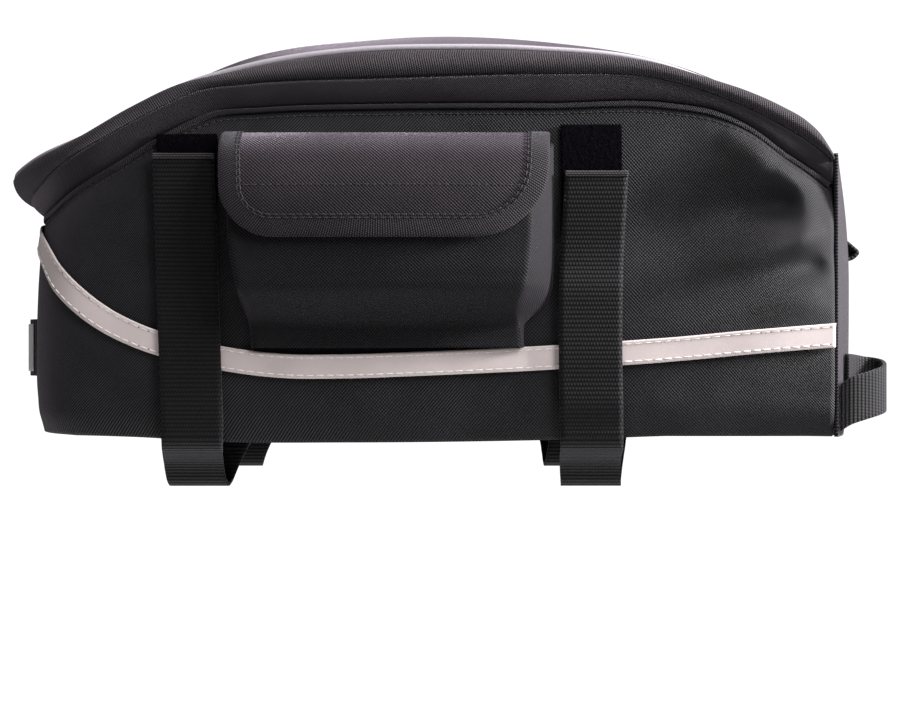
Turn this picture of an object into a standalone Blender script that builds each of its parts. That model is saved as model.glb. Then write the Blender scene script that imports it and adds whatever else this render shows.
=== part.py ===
"""Bicycle rack bag in black nylon, as it sits on a rack. Metres, +X forward, +Z up, seen side at -Y."""

import math

import bmesh
import bpy
import numpy as np

# Body
BODY_LENGTH = 0.332  # middle of the rear panel to the front seam
BODY_WIDTH = 0.173  # across the side panels, before they bulge
BULGE = 0.0025  # how far the panels stand out at mid height
REAR_ROUND = 0.045  # length of the body's rounded rear end
ROUND_POWER = 3.0  # how square that end is
HEM_HEIGHT = 0.135  # top of the side panels, where they are highest
BASE_SAG = 0.0025  # how far the lower edge hangs below the base
CLOTH = 0.0016
BASE_THICKNESS = 0.003
GAP = 0.0003  # between pieces that are sewn or lie together
OBLIQUE_GAP = 1.6 * GAP  # where they meet at an angle
WELD = 0.00001
BASE_CLEARANCE = 1.3 * CLOTH  # between the base and the walls

# Front panel
FRONT_BULGE = 0.018
FRONT_POWER = 2.5
FRONT_TOP_RISE = 0.005  # how much higher its top edge is in the middle

# Lid
BAND_WIDTH = 0.0195  # zip band, from the hem to the lid's edge
BAND_CLOTH = 0.001
BAND_OUTSET = 0.0006  # how far its lower edge lies outside the hem
LID_RISE = 0.0405  # crown above the hem
CROWN_CLOTH = 0.0022
ZIP_OVERHANG = 0.0068  # how far the zip stands behind the rear panel
EDGE_OVERHANG = 0.0155  # the same for the lid's edge
LID_ROUND = 0.055  # length of the lid's rounded rear end
LID_POWER = 2.6  # how square that end is
ZIP_RADIUS = 0.0013
SLIDER_SIZE = (0.011, 0.0026, 0.0075)
PULL_SIZE = (0.0055, 0.0012, 0.024)
SLIDER_BEVEL = 0.0004
SLIDER_STATION = -3  # step of the zip's line where it stands
PIPING_DIAMETER = 0.0029
PIPING_INSET = 0.0037  # from the lid's edge inwards
REAR_INSET = 0.4 * PIPING_INSET  # the same at the rear
SPINE_END = 0.036  # from the lid's rear edge to where its ridge begins

# Reflective tape
TAPE_WIDTH = 0.0097
TAPE_THICKNESS = 0.0008

# Pockets and flaps
POCKET_WIDTH = 0.3916 * BODY_LENGTH
POCKET_DEPTH = 0.023
POCKET_BOTTOM = 0.0335
POCKET_TOP = 0.8 * HEM_HEIGHT
GUSSET_RISE = 0.0105  # how much higher the gussets reach at the side panel
POCKET_CLOTH = 0.0014
POCKET_BOW = 0.06  # how much further its front stands out in the middle, share of the depth
TAPE_FADE = (0.13, 0.25)  # shares of its height between which it clears the tape less and less
POCKET_PLACE = 0.4608  # share of the body's length, from the rear
FLAP_WIDTH = POCKET_WIDTH + 0.0025
FLAP_SHIFT = 0.002  # how far its middle lies behind the pocket's
FLAP_TAPER = 0.0035  # how much each side narrows on the way down
FLAP_TOP = POCKET_TOP + 0.014
FLAP_HEIGHT = 0.0432
FLAP_REACH = 0.028
FLAP_RUN = 0.060  # cloth from the sewn edge to the free edge
FLAP_REAR_CORNER = 0.020
FLAP_FRONT_CORNER = 0.028
FLAP_CLOTH = 0.0015
FLAP_DROOP = 0.10  # how much less it reaches at its sides
BINDING_WIDTH = 0.0090
BINDING_THICKNESS = 0.0024

# Straps
STRAP_WIDTH = 0.0254
STRAP_THICKNESS = 0.0018
STRAP_FOOT = 0.004  # height where a strap leaves the side panel
PATCH_WIDTH = 0.0245
PATCH_THICKNESS = 0.0012
RAIL_INSET = 0.0360  # from the side panel to the inner leg of the hanging loop
LOOP_DROP = 0.0212  # from the base to the middle of the webbing under the rail
FRONT_STRAP_WIDTH = 0.0190
FRONT_STRAP_REACH = 0.0222

# Rear light loop and front loop
LIGHT_LOOP_WIDTH = 0.0254
LIGHT_LOOP_REACH = 0.0092
LIGHT_LOOP_HEIGHT = 0.0364  # of its middle line
LIGHT_TAPE_WIDTH = 0.0212
LIGHT_TAPE_THICKNESS = 0.0005
FRONT_LOOP_WIDTH = 0.020
FRONT_LOOP_REACH = 0.0090
FRONT_LOOP_HEIGHT = 0.0797
FRONT_LOOP_THICKNESS = 0.0016

FRONT_X = BODY_LENGTH / 2
REAR_X = -BODY_LENGTH / 2
HALF_WIDTH = BODY_WIDTH / 2
STANDOFF = PATCH_THICKNESS + 2 * GAP

# Side view of the bag. Place is the share of the way from the front seam to the rear. Hem is a share
# of HEM_HEIGHT. Zip and edge are heights above the hem as shares of BAND_WIDTH, piping is its height
# above the edge as a share of its diameter, and crown is a share of LID_RISE above the hem.
PROFILE = (
    # place, hem, zip, edge, piping, crown
    (0.00, 0.755, 0.49, 0.62, -0.4, 0.47),
    (0.03, 0.807, 0.55, 0.96, -0.4, 0.57),
    (0.06, 0.854, 0.54, 0.95, -0.4, 0.62),
    (0.10, 0.926, 0.40, 0.77, -0.4, 0.59),
    (0.14, 0.973, 0.36, 0.68, -0.3, 0.61),
    (0.20, 1.000, 0.48, 0.81, 0.1, 0.70),
    (0.35, 1.000, 0.61, 0.99, 1.05, 0.94),
    (0.45, 1.000, 0.57, 1.00, 1.15, 1.00),
    (0.55, 0.998, 0.53, 0.95, 1.1, 0.985),
    (0.70, 0.987, 0.49, 0.71, 0.45, 0.815),
    (0.76, 0.973, 0.45, 0.60, -0.1, 0.61),
    (0.82, 0.905, 0.45, 0.57, -0.3, 0.56),
    (0.88, 0.816, 0.50, 0.58, 0.0, 0.575),
    (0.93, 0.743, 0.51, 0.70, 0.45, 0.585),
    (0.97, 0.685, 0.44, 0.82, 0.70, 0.59),
    (1.00, 0.674, 0.33, 0.80, 0.75, 0.48),
)

# Section of the body's wall: height as a share of the hem's height there, outset as a share of BULGE
WALL_SECTION = (
    # height, outset
    (0.00, -1.00),
    (0.03, -0.35),
    (0.08, 0.50),
    (0.17, 0.90),
    (0.35, 1.00),
    (0.55, 0.90),
    (0.75, 0.60),
    (0.90, 0.15),
    (1.00, -0.50),
)

# How far the lower edge hangs, as a share of BASE_SAG, along the side
LOWER_EDGE = (
    # place, sag
    (0.00, 0.0),
    (0.15, -0.2),
    (0.35, 0.6),
    (0.60, 1.0),
    (0.75, 0.9),
    (0.86, 0.1),
    (1.00, -0.3),
)

# Folds of the side panels. Along and up are the fold's middle as shares of the body's length and of
# HEM_HEIGHT, slope is its direction, long and wide are shares of HEM_HEIGHT and depth a share of BULGE.
FOLDS = (
    # along, up, slope, long, wide, depth
    (0.905, 0.66, 33.0, 0.30, 0.075, -1.10),
    (0.870, 0.82, 30.0, 0.22, 0.080, 0.70),
    (0.945, 0.47, 40.0, 0.26, 0.070, -0.90),
    (0.925, 0.57, 36.0, 0.26, 0.060, 0.60),
    (0.820, 0.52, 24.0, 0.30, 0.090, 0.45),
)

# Middle line of the reflective tape, as a share of HEM_HEIGHT
TAPE_LINE = (
    # place, height
    (0.00, 0.304),
    (0.10, 0.284),
    (0.20, 0.261),
    (0.30, 0.244),
    (0.40, 0.230),
    (0.50, 0.219),
    (0.60, 0.211),
    (0.66, 0.212),
    (0.72, 0.228),
    (0.78, 0.258),
    (0.84, 0.304),
    (0.88, 0.354),
    (0.91, 0.407),
    (0.94, 0.476),
    (0.97, 0.553),
    (1.00, 0.593),
)

# Front panel: outset as a share of FRONT_BULGE at shares of its height
FRONT_SECTION = (
    # height, outset
    (0.00, 0.80),
    (0.06, 0.90),
    (0.20, 0.97),
    (0.45, 1.00),
    (0.65, 0.97),
    (0.78, 0.88),
    (0.88, 0.75),
    (0.95, 0.61),
    (1.00, 0.48),
)

# Pocket: height as a share of its own, depth as a share of POCKET_DEPTH, and the four corners of its
# section as shares of half its width, from the rear
POCKET_SECTION = (
    # height, depth, back_rear, front_rear, front_front, back_front
    (0.00, 0.07, -0.85, -0.84, 0.81, 0.83),
    (0.10, 0.08, -0.86, -0.845, 0.80, 0.83),
    (0.17, 0.15, -0.87, -0.85, 0.79, 0.84),
    (0.23, 0.35, -0.89, -0.86, 0.775, 0.88),
    (0.29, 0.58, -0.92, -0.87, 0.79, 0.94),
    (0.38, 0.80, -0.95, -0.91, 0.84, 0.97),
    (0.52, 0.94, -0.98, -0.945, 0.88, 1.00),
    (0.69, 1.00, -1.00, -0.955, 0.885, 1.00),
    (0.85, 0.96, -1.00, -0.950, 0.885, 1.00),
    (1.00, 0.90, -1.00, -0.945, 0.885, 1.00),
)

# Flap's section: run along the cloth, reach away from the side and drop, as shares of their sizes
FLAP_SECTION = (
    # run, reach, drop
    (0.00, 0.04, 0.00),
    (0.13, 0.29, 0.02),
    (0.27, 0.59, 0.09),
    (0.41, 0.83, 0.22),
    (0.54, 0.94, 0.38),
    (0.68, 1.00, 0.57),
    (0.84, 1.00, 0.78),
    (1.00, 0.97, 1.00),
)

# Side straps: place and top end as shares of the body's length and HEM_HEIGHT, the patch's lower and
# upper edge, and how far the strap's middle, its lower end and the leg inside the rail lean forward,
# as shares of STRAP_WIDTH
STRAPS = (
    # name, place, top, patch_low, patch_top, middle, low, inner
    ("rear", 0.209, 0.841, 0.70, 0.895, 0.10, 0.11, 0.78),
    ("front", 0.710, 0.788, 0.62, 0.935, -0.045, 0.02, 0.25),
)

# Where a strap hangs under the base: inwards as a share of RAIL_INSET, down as a share of LOOP_DROP
STRAP_HANG = (
    # inwards, down
    (0.010, 0.00),
    (0.060, 0.21),
    (0.210, 0.32),
    (0.450, 0.40),
    (0.600, 0.52),
    (0.650, 0.71),
    (0.700, 0.91),
    (0.810, 1.00),
    (0.920, 0.92),
    (0.975, 0.71),
    (0.995, 0.43),
    (1.010, 0.21),
)
TAB_LENGTH = 0.018  # sewn end under the base

# Front straps in plan: forward as a share of FRONT_STRAP_REACH, inwards as a share of HALF_WIDTH and
# the middle line's height as a share of FRONT_STRAP_WIDTH
FRONT_STRAP_PATH = (
    # forward, inwards, height
    (0.06, 0.000, 0.62),
    (0.24, -0.004, 0.76),
    (0.50, 0.014, 0.86),
    (0.76, 0.050, 0.94),
    (0.93, 0.092, 1.00),
    (1.00, 0.140, 1.07),
    (0.97, 0.185, 1.15),
    (0.85, 0.210, 1.19),
    (0.68, 0.207, 1.21),
    (0.52, 0.180, 1.24),
    (0.38, 0.140, 1.26),
    (0.27, 0.098, 1.27),
)

# Light loop: place across and reach, as shares of its half length and of LIGHT_LOOP_REACH
LIGHT_LOOP_PATH = (
    # across, reach
    (-1.00, 0.0),
    (-0.80, 0.0),
    (-0.62, 0.12),
    (-0.42, 0.62),
    (-0.20, 0.93),
    (0.00, 1.0),
    (0.20, 0.93),
    (0.42, 0.62),
    (0.62, 0.12),
    (0.80, 0.0),
    (1.00, 0.0),
)
LIGHT_LOOP_HALF = 0.034

# Front loop: reach and height as shares of FRONT_LOOP_REACH
FRONT_LOOP_PATH = (
    # reach, height
    (0.00, 1.40),
    (0.00, 1.00),
    (0.30, 0.66),
    (0.78, 0.22),
    (1.00, -0.04),
    (0.80, -0.26),
    (0.30, -0.46),
    (0.00, -0.66),
    (0.00, -1.05),
)

# Numbers of steps in the meshes
SIDE_STEPS = 16
END_DENSITY = 0.095  # shortens the steps towards both ends of the sides
CORNER_STEPS = 8
CROWN_STEPS = 5


def material(name, colour, roughness):
    """Principled material with one colour."""
    made = bpy.data.materials.new(name)
    made.use_nodes = True
    shader = made.node_tree.nodes["Principled BSDF"]
    shader.inputs["Base Color"].default_value = (*colour, 1.0)
    shader.inputs["Roughness"].default_value = roughness
    shader.inputs["Metallic"].default_value = 0.0
    return made


def column(table, index):
    """One column of a table as an array."""
    return np.array([row[index] for row in table], dtype=float)


def smooth(keys, values, place):
    """Cubic curve through the points of a table, with the slopes of its neighbours."""
    slopes = np.gradient(values, keys)
    place = np.clip(place, keys[0], keys[-1])
    i = np.clip(np.searchsorted(keys, place, side="right") - 1, 0, len(keys) - 2)
    step = keys[i + 1] - keys[i]
    t = (place - keys[i]) / step
    return (
        (2 * t**3 - 3 * t**2 + 1) * values[i]
        + (t**3 - 2 * t**2 + t) * step * slopes[i]
        + (3 * t**2 - 2 * t**3) * values[i + 1]
        + (t**3 - t**2) * step * slopes[i + 1]
    )


def follow(table, index, place):
    """Column of a table, read smoothly at places along its first column."""
    return smooth(column(table, 0), column(table, index), place)


def resample(points, count):
    """Evenly spaced points on a smooth curve through the given ones."""
    points = np.array(points, dtype=float)
    run = np.concatenate(([0.0], np.cumsum(np.linalg.norm(np.diff(points, axis=0), axis=1))))
    at = np.linspace(0.0, run[-1], count)
    return np.stack([smooth(run, points[:, k], at) for k in range(points.shape[1])], axis=-1)


def corner_angles(length, power):
    """Angles round a rear corner that give steps of about equal length."""
    angle = np.linspace(0.0, math.pi / 2, 400)
    x = length * np.sin(angle) ** (2 / power)
    y = HALF_WIDTH * np.cos(angle) ** (2 / power)
    run = np.concatenate(([0.0], np.cumsum(np.hypot(np.diff(x), np.diff(y)))))
    return np.interp(np.linspace(0.0, run[-1], CORNER_STEPS + 1), run, angle)


def outline(half_width, rear_x, length=REAR_ROUND, power=ROUND_POWER):
    """Plan outline from the front seam on the seen side round the rear to the far front seam."""
    turn = rear_x + length
    angle = corner_angles(length, power)[1:]
    step = np.linspace(0.0, 1.0, SIDE_STEPS + 1)
    straight = FRONT_X + (turn - FRONT_X) * (step - END_DENSITY * np.sin(2 * math.pi * step))
    corner = turn - length * np.sin(angle) ** (2 / power)
    x = np.concatenate((straight, corner))
    y = np.concatenate(
        (np.full(SIDE_STEPS + 1, -half_width), -half_width * np.cos(angle) ** (2 / power))
    )
    y[-1] = 0.0
    return np.concatenate((x, x[-2::-1])), np.concatenate((y, -y[-2::-1]))


def place_along(x, rear_x=REAR_X):
    """Share of the way from the front seam to the rear."""
    return (FRONT_X - x) / (FRONT_X - rear_x)


def hem_height(place):
    return HEM_HEIGHT * follow(PROFILE, 1, place)


def fold_relief(x, z):
    """Sum of the folds of the side panels: long soft ridges and valleys, fading out at their ends."""
    relief = np.zeros_like(x)
    for along, up, slope, length, width, depth in FOLDS:
        turn = math.radians(slope)
        dx = x - (REAR_X + along * BODY_LENGTH)
        dz = z - up * HEM_HEIGHT
        run = (dx * math.cos(turn) + dz * math.sin(turn)) / (length * HEM_HEIGHT)
        side = (dz * math.cos(turn) - dx * math.sin(turn)) / (width * HEM_HEIGHT)
        relief += depth * BULGE * np.exp(-(run**2) - side**2)
    return relief


def wall_outset(place, z):
    """How far the body's wall stands out of its outline at a height."""
    low = -BASE_SAG * follow(LOWER_EDGE, 1, place)
    share = (z - low) / (hem_height(place) - low)
    return BULGE * follow(WALL_SECTION, 1, share)


def wall_half_width(x, z):
    """Half width of the body, outside, on the straight part of its sides."""
    return HALF_WIDTH + wall_outset(place_along(x), z) + fold_relief(x, z)


def wall_rear(y, z):
    """Outside of the rear panel at a height."""
    outset = wall_outset(1.0, z)
    across = np.abs(y) / (HALF_WIDTH + outset)
    return REAR_X - outset + REAR_ROUND * (1 - (1 - across**ROUND_POWER) ** (1 / ROUND_POWER))


def front_x(y, share, outset=0.0):
    """Inside of the front panel at a place across and a share of its height."""
    across = np.clip(np.abs(y) / HALF_WIDTH, 0.0, 1.0)
    bulge = FRONT_BULGE * follow(FRONT_SECTION, 1, share)
    return FRONT_X + GAP + outset + bulge * (1 - across**FRONT_POWER)


def front_top(y):
    """Height of the front panel's top edge."""
    side = hem_height(0.0) + BAND_WIDTH * PROFILE[0][3]
    return side + FRONT_TOP_RISE * (1 - (y / HALF_WIDTH) ** 2)


def link(obj, name, finish, group):
    obj.name = name
    obj.data.name = name
    obj.data.materials.append(finish)
    group.objects.link(obj)
    return obj


def sheet(name, points, thickness, finish, group, side=0.0):
    """Grid of points, rows by columns, given a wall with Solidify. Side 1 grows along the normal."""
    rows, columns = points.shape[:2]
    mesh = bpy.data.meshes.new(name)
    corner = np.arange(rows * columns).reshape(rows, columns)
    faces = np.stack(
        (corner[:-1, :-1], corner[:-1, 1:], corner[1:, 1:], corner[1:, :-1]), axis=-1
    ).reshape(-1, 4)
    mesh.from_pydata(points.reshape(-1, 3).tolist(), [], faces.tolist())
    welded = bmesh.new()
    welded.from_mesh(mesh)
    bmesh.ops.remove_doubles(welded, verts=welded.verts, dist=WELD)
    welded.to_mesh(mesh)
    welded.free()
    mesh.shade_smooth()
    obj = link(bpy.data.objects.new(name, mesh), name, finish, group)
    wall = obj.modifiers.new("Wall", "SOLIDIFY")
    wall.thickness = thickness
    wall.offset = side
    wall.use_even_offset = True
    return obj


def tube(name, path, radius, finish, group):
    """Round cord along a path."""
    curve = bpy.data.curves.new(name, "CURVE")
    curve.dimensions = "3D"
    curve.bevel_depth = radius
    curve.bevel_resolution = 2
    curve.use_fill_caps = True
    spline = curve.splines.new("POLY")
    spline.points.add(len(path) - 1)
    for point, place in zip(spline.points, path):
        point.co = (*place, 1.0)
    return link(bpy.data.objects.new(name, curve), name, finish, group)


def mirrored(points):
    """Same grid on the other side of the bag, with its rows reversed so that it faces outwards."""
    return points[::-1] * np.array([1.0, -1.0, 1.0])


def body_walls(finish, group):
    """Side panels and rear panel: one wall of cloth, parted in the middle of each rear corner."""
    rows = []
    for share, outset in WALL_SECTION:
        x, y = outline(HALF_WIDTH + BULGE * outset, REAR_X - BULGE * outset)
        place = place_along(x, REAR_X - BULGE * outset)
        low = -BASE_SAG * follow(LOWER_EDGE, 1, place)
        z = low + share * (hem_height(place) - low)
        straight = np.abs(y) > HALF_WIDTH - 2 * BULGE
        y = y + np.sign(y) * np.where(straight, fold_relief(x, z), 0.0)
        rows.append(np.stack((x, y, z), axis=-1))
    wall = np.array(rows)
    seam = SIDE_STEPS + CORNER_STEPS // 2
    side, rear = wall[:, :seam + 1], wall[:, seam:-seam].copy()
    for end, after in ((0, 1), (-1, -2)):
        way = rear[:, after] - rear[:, end]
        rear[:, end] += way * (GAP / np.linalg.norm(way, axis=1, keepdims=True))
    sheet("side_panel_right", side, CLOTH, finish, group, side=1.0)
    sheet("side_panel_left", mirrored(side), CLOTH, finish, group, side=1.0)
    sheet("rear_panel", rear, CLOTH, finish, group, side=1.0)


def base_panel(finish, group):
    """Stiff bottom inside the lower edge of the walls."""
    inset = BULGE + BASE_CLEARANCE + GAP
    x, y = outline(HALF_WIDTH - inset, REAR_X + inset)
    across = np.linspace(y[-1], y[0], 13)[1:-1]
    front = front_x(across, 0.0) - GAP
    edge = np.stack((np.concatenate((x, front)), np.concatenate((y, across))), axis=-1)
    edge[:, 0] = np.minimum(edge[:, 0], front_x(edge[:, 1], 0.0) - 2 * GAP)
    mesh = bpy.data.meshes.new("base_panel")
    solid = bmesh.new()
    ring = [solid.verts.new((px, py, 0.0)) for px, py in edge]
    bottom = solid.faces.new(ring)
    lifted = bmesh.ops.extrude_face_region(solid, geom=[bottom])
    moved = [item for item in lifted["geom"] if isinstance(item, bmesh.types.BMVert)]
    bmesh.ops.translate(solid, verts=moved, vec=(0.0, 0.0, BASE_THICKNESS))
    bmesh.ops.recalc_face_normals(solid, faces=solid.faces)
    solid.to_mesh(mesh)
    solid.free()
    return link(bpy.data.objects.new("base_panel", mesh), "base_panel", finish, group)


def front_panel(finish, group):
    """Bulging end panel between the front seams."""
    across = HALF_WIDTH * np.sin(np.linspace(-math.pi / 2, math.pi / 2, 15))
    rows = []
    for share, _ in FRONT_SECTION:
        top = front_top(across)
        rows.append(np.stack((front_x(across, share), across, share * top), axis=-1))
    return sheet("front_panel", np.array(rows), CLOTH, finish, group, side=1.0)


def rail(half_width, rear_x, height, roundness=1.0):
    """Line round the lid: plan outline with a height that follows the place along the bag."""
    length = REAR_ROUND + (LID_ROUND - REAR_ROUND) * roundness
    power = ROUND_POWER + (LID_POWER - ROUND_POWER) * roundness
    x, y = outline(half_width, rear_x, length, power)
    place = place_along(x, rear_x)
    return np.stack((x, y, height(place)), axis=-1)


def band_height(index, lift=0.0):
    """Height above the hem of the zip or the edge, plus a lift."""
    return lambda place: hem_height(place) + BAND_WIDTH * follow(PROFILE, index, place) + lift


def piping_height(place):
    lift = PIPING_DIAMETER * follow(PROFILE, 4, place)
    return band_height(3)(place) + lift


def hem_rail():
    inset = BULGE * WALL_SECTION[-1][1] - BAND_OUTSET
    return rail(HALF_WIDTH + inset, REAR_X - inset, lambda place: hem_height(place) + GAP, 0.0)


def zip_rail():
    return rail(HALF_WIDTH - GAP, REAR_X - ZIP_OVERHANG, band_height(2), ZIP_OVERHANG / EDGE_OVERHANG)


def edge_rail():
    return rail(HALF_WIDTH, REAR_X - EDGE_OVERHANG, band_height(3))


def piping_rail():
    return rail(HALF_WIDTH - PIPING_INSET, REAR_X - EDGE_OVERHANG + REAR_INSET, piping_height)


def towards(start, end, distance):
    """Line on the way from start to end, at a distance square to the start line."""
    way = end - start
    along = np.gradient(start, axis=0)
    along /= np.linalg.norm(along, axis=1, keepdims=True)
    square = way - along * np.sum(way * along, axis=1, keepdims=True)
    return start + way * (distance / np.linalg.norm(square, axis=1, keepdims=True))


def towards_point(start, end, distance):
    """Point at a distance from start on the way to end."""
    return start + (end - start) * (distance / np.linalg.norm(end - start))


def zip_band(tape, coil, group):
    """Tapes and coil between the hem and the lid's edge."""
    hem, middle, edge, piping = hem_rail(), zip_rail(), edge_rail(), piping_rail()
    clear = ZIP_RADIUS + OBLIQUE_GAP
    lower = np.array([hem, towards(middle, hem, clear)])
    over = towards(piping, edge, PIPING_DIAMETER / 2 + OBLIQUE_GAP)
    upper = np.array([towards(middle, edge, clear), edge, over])
    sheet("zip_tape_lower", lower, BAND_CLOTH, tape, group, side=1.0)
    sheet("zip_tape_upper", upper, BAND_CLOTH, tape, group, side=1.0)
    for end, after in ((0, 1), (-1, -2)):
        middle[end] = towards_point(middle[end], middle[after], 1.5 * ZIP_RADIUS)
    tube("zip_coil", middle, ZIP_RADIUS, coil, group)


def lid_piping(finish, group):
    tube("lid_piping", piping_rail(), PIPING_DIAMETER / 2, finish, group)


def crown_height(x):
    """Height of the lid's ridge."""
    front = front_x(0.0, 1.0)
    place = (front - x) / (front - (REAR_X - EDGE_OVERHANG))
    return hem_height(place) + LID_RISE * follow(PROFILE, 5, place)


def lid_crown(finish, group):
    """Domed top of the lid, from the piping over the ridge to the piping on the far side."""
    half = SIDE_STEPS + CORNER_STEPS + 1
    line = piping_rail()
    way = np.gradient(line[:, :2], axis=0)
    way /= np.linalg.norm(way, axis=1, keepdims=True)
    inwards = PIPING_DIAMETER / 2 + 2 * GAP
    line[:, 0] += inwards * way[:, 1]
    line[:, 1] -= inwards * way[:, 0]
    start = line[:half]
    start[-1, 1] = 0.0
    ridge_front = front_x(0.0, 1.0) - CROWN_CLOTH
    ridge_rear = REAR_X - EDGE_OVERHANG + SPINE_END
    span = (start[0, 0] - start[:, 0]) / (start[0, 0] - start[-1, 0])
    ridge_x = ridge_front + (ridge_rear - ridge_front) * span
    drop = crown_height(start[:, 0]) - start[:, 2]
    columns = []
    for share in np.linspace(0.0, 1.0, CROWN_STEPS + 1):
        bow = 1 - (1 - share) ** FRONT_POWER
        x = start[:, 0] + (ridge_x - start[:, 0]) * (bow * (1 - span) + share * span)
        y = start[:, 1] * (1 - share)
        z = crown_height(x) - drop * (1 - share) ** 2
        columns.append(np.stack((x, y, z), axis=-1))
    far = [points * np.array([1.0, -1.0, 1.0]) for points in columns[-2::-1]]
    grid = np.stack(columns + far, axis=1)
    return sheet("lid_crown", grid, CROWN_CLOTH, finish, group, side=-1.0)


def reflective_tape(finish, group):
    """Light tape sewn round both sides and the rear, wider in height where it slopes."""
    x, y = outline(HALF_WIDTH, REAR_X)
    place = place_along(x)
    middle = HEM_HEIGHT * follow(TAPE_LINE, 1, place)
    run = np.concatenate(([0.0], np.cumsum(np.hypot(np.diff(x), np.diff(y)))))
    slope = np.gradient(middle, run)
    rows = []
    for across in (-0.5, 0.0, 0.5):
        z = middle + across * TAPE_WIDTH * np.sqrt(1 + slope**2)
        outset = wall_outset(place, z) + 2 * GAP
        straight = np.abs(y) > HALF_WIDTH - 2 * BULGE
        relief = np.sign(y) * np.where(straight, fold_relief(x, z), 0.0)
        back = np.minimum(place / place_along(REAR_X + REAR_ROUND), 1.0)
        rows.append(np.stack((x - outset * back, y * (1 + outset / HALF_WIDTH) + relief, z), axis=-1))
    return sheet("reflective_tape", np.array(rows), TAPE_THICKNESS, finish, group, side=-1.0)


def pocket_middle():
    return REAR_X + POCKET_PLACE * BODY_LENGTH


def pocket(name, finish, group, far):
    """Bellows pocket: gussets and front in one wall, open at the top and towards the side panel."""
    corners = np.array([0.0, 0.5, 1.0, 1.25, 1.5, 1.75, 2.0, 2.5, 3.0])
    rows = []
    away = np.interp(corners, range(4), (0.0, 1.0, 1.0, 0.0))
    for height, depth, *shares in POCKET_SECTION:
        z = POCKET_BOTTOM + height * (POCKET_TOP - POCKET_BOTTOM)
        z = z + GUSSET_RISE * height**4 * (1 - away)
        x = pocket_middle() + POCKET_WIDTH / 2 * np.interp(corners, range(4), shares)
        out = POCKET_DEPTH * depth * away
        out += POCKET_DEPTH * POCKET_BOW * depth * np.sin(math.pi * np.clip(corners - 1, 0, 1))
        over_tape = np.interp(height, TAPE_FADE, (TAPE_THICKNESS + GAP, 0.0))
        y = -(wall_half_width(x, z) + GAP + POCKET_CLOTH / 2 + over_tape + out)
        rows.append(np.stack((x, y, z), axis=-1))
    grid = np.array(rows)
    return sheet(name, mirrored(grid) if far else grid, POCKET_CLOTH, finish, group)


def flap_point(x, run):
    """Place on the flap's cloth: x from its middle and the run from the sewn edge."""
    share = run / FLAP_RUN
    side = np.abs(x) / (FLAP_WIDTH / 2)
    x = x + pocket_middle() - FLAP_SHIFT
    drop = FLAP_HEIGHT * follow(FLAP_SECTION, 2, share)
    reach = FLAP_REACH * follow(FLAP_SECTION, 1, share)
    reach = reach * (1 - FLAP_DROOP * side**4)
    z = FLAP_TOP - drop
    y = -(wall_half_width(x, z) + GAP + reach)
    return np.stack((x, y, z), axis=-1)


def flap_half_width(run, inset, corner):
    """Half width of the flap's pattern at a run, with its lower corner rounded."""
    radius = corner - inset
    left = FLAP_RUN - inset - run
    half = FLAP_WIDTH / 2 - FLAP_TAPER * run / FLAP_RUN - inset
    cut = np.clip(radius - left, 0.0, radius)
    return half - (radius - np.sqrt(radius**2 - cut**2))


def flap(name, finish, group, far):
    """Cloth of the flap inside its binding."""
    inset = BINDING_WIDTH + GAP
    radius = FLAP_FRONT_CORNER - inset
    straight = np.linspace(0.0, FLAP_RUN - inset - radius, 7)
    angle = np.linspace(0.0, math.pi / 2, 5)[1:]
    runs = np.concatenate((straight, FLAP_RUN - inset - radius + radius * np.sin(angle)))
    rows = []
    for run in runs[::-1]:
        rear = -flap_half_width(run, inset, FLAP_REAR_CORNER)
        front = flap_half_width(run, inset, FLAP_FRONT_CORNER)
        rows.append(flap_point(np.linspace(rear, front, 9), np.full(9, run)))
    grid = np.array(rows)
    return sheet(name, mirrored(grid) if far else grid, FLAP_CLOTH, finish, group)


def binding_edge(inset):
    """Edge of the flap's pattern at an inset: down one side, round the corners, up the other."""
    low = FLAP_RUN - inset
    sides = []
    for corner in (FLAP_REAR_CORNER, FLAP_FRONT_CORNER):
        radius = corner - inset
        angle = np.linspace(0.0, math.pi / 2, 6)[1:]
        straight = np.linspace(0.0, low - radius, 7)
        runs = np.concatenate((straight, low - radius + radius * np.sin(angle)))
        sides.append((runs, flap_half_width(runs, inset, corner)))
    (rear_runs, rear), (front_runs, front) = sides
    bottom = np.linspace(-rear[-1], front[-1], 7)[1:-1]
    x = np.concatenate((-rear, bottom, front[::-1]))
    return flap_point(x, np.concatenate((rear_runs, np.full(5, low), front_runs[::-1])))


def flap_binding(name, finish, group, far):
    """Binding folded over the free edge of the flap."""
    grid = np.array([binding_edge(inset) for inset in (0.0, BINDING_WIDTH / 2, BINDING_WIDTH)])
    return sheet(name, mirrored(grid) if far else grid, BINDING_THICKNESS, finish, group)


def loop_patch(name, middle, low, top, finish, group, far):
    """Loop side of the hook and loop, sewn flat to the side panel above the strap's end."""
    x = middle + PATCH_WIDTH * np.linspace(-0.5, 0.5, 4)
    rows = []
    for z in np.linspace(low * HEM_HEIGHT, top * HEM_HEIGHT, 4):
        rows.append(np.stack((x, -(wall_half_width(x, np.full(4, z)) + GAP), np.full(4, z)), axis=-1))
    grid = np.array(rows)
    return sheet(name, mirrored(grid) if far else grid, PATCH_THICKNESS, finish, group, side=1.0)


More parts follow.
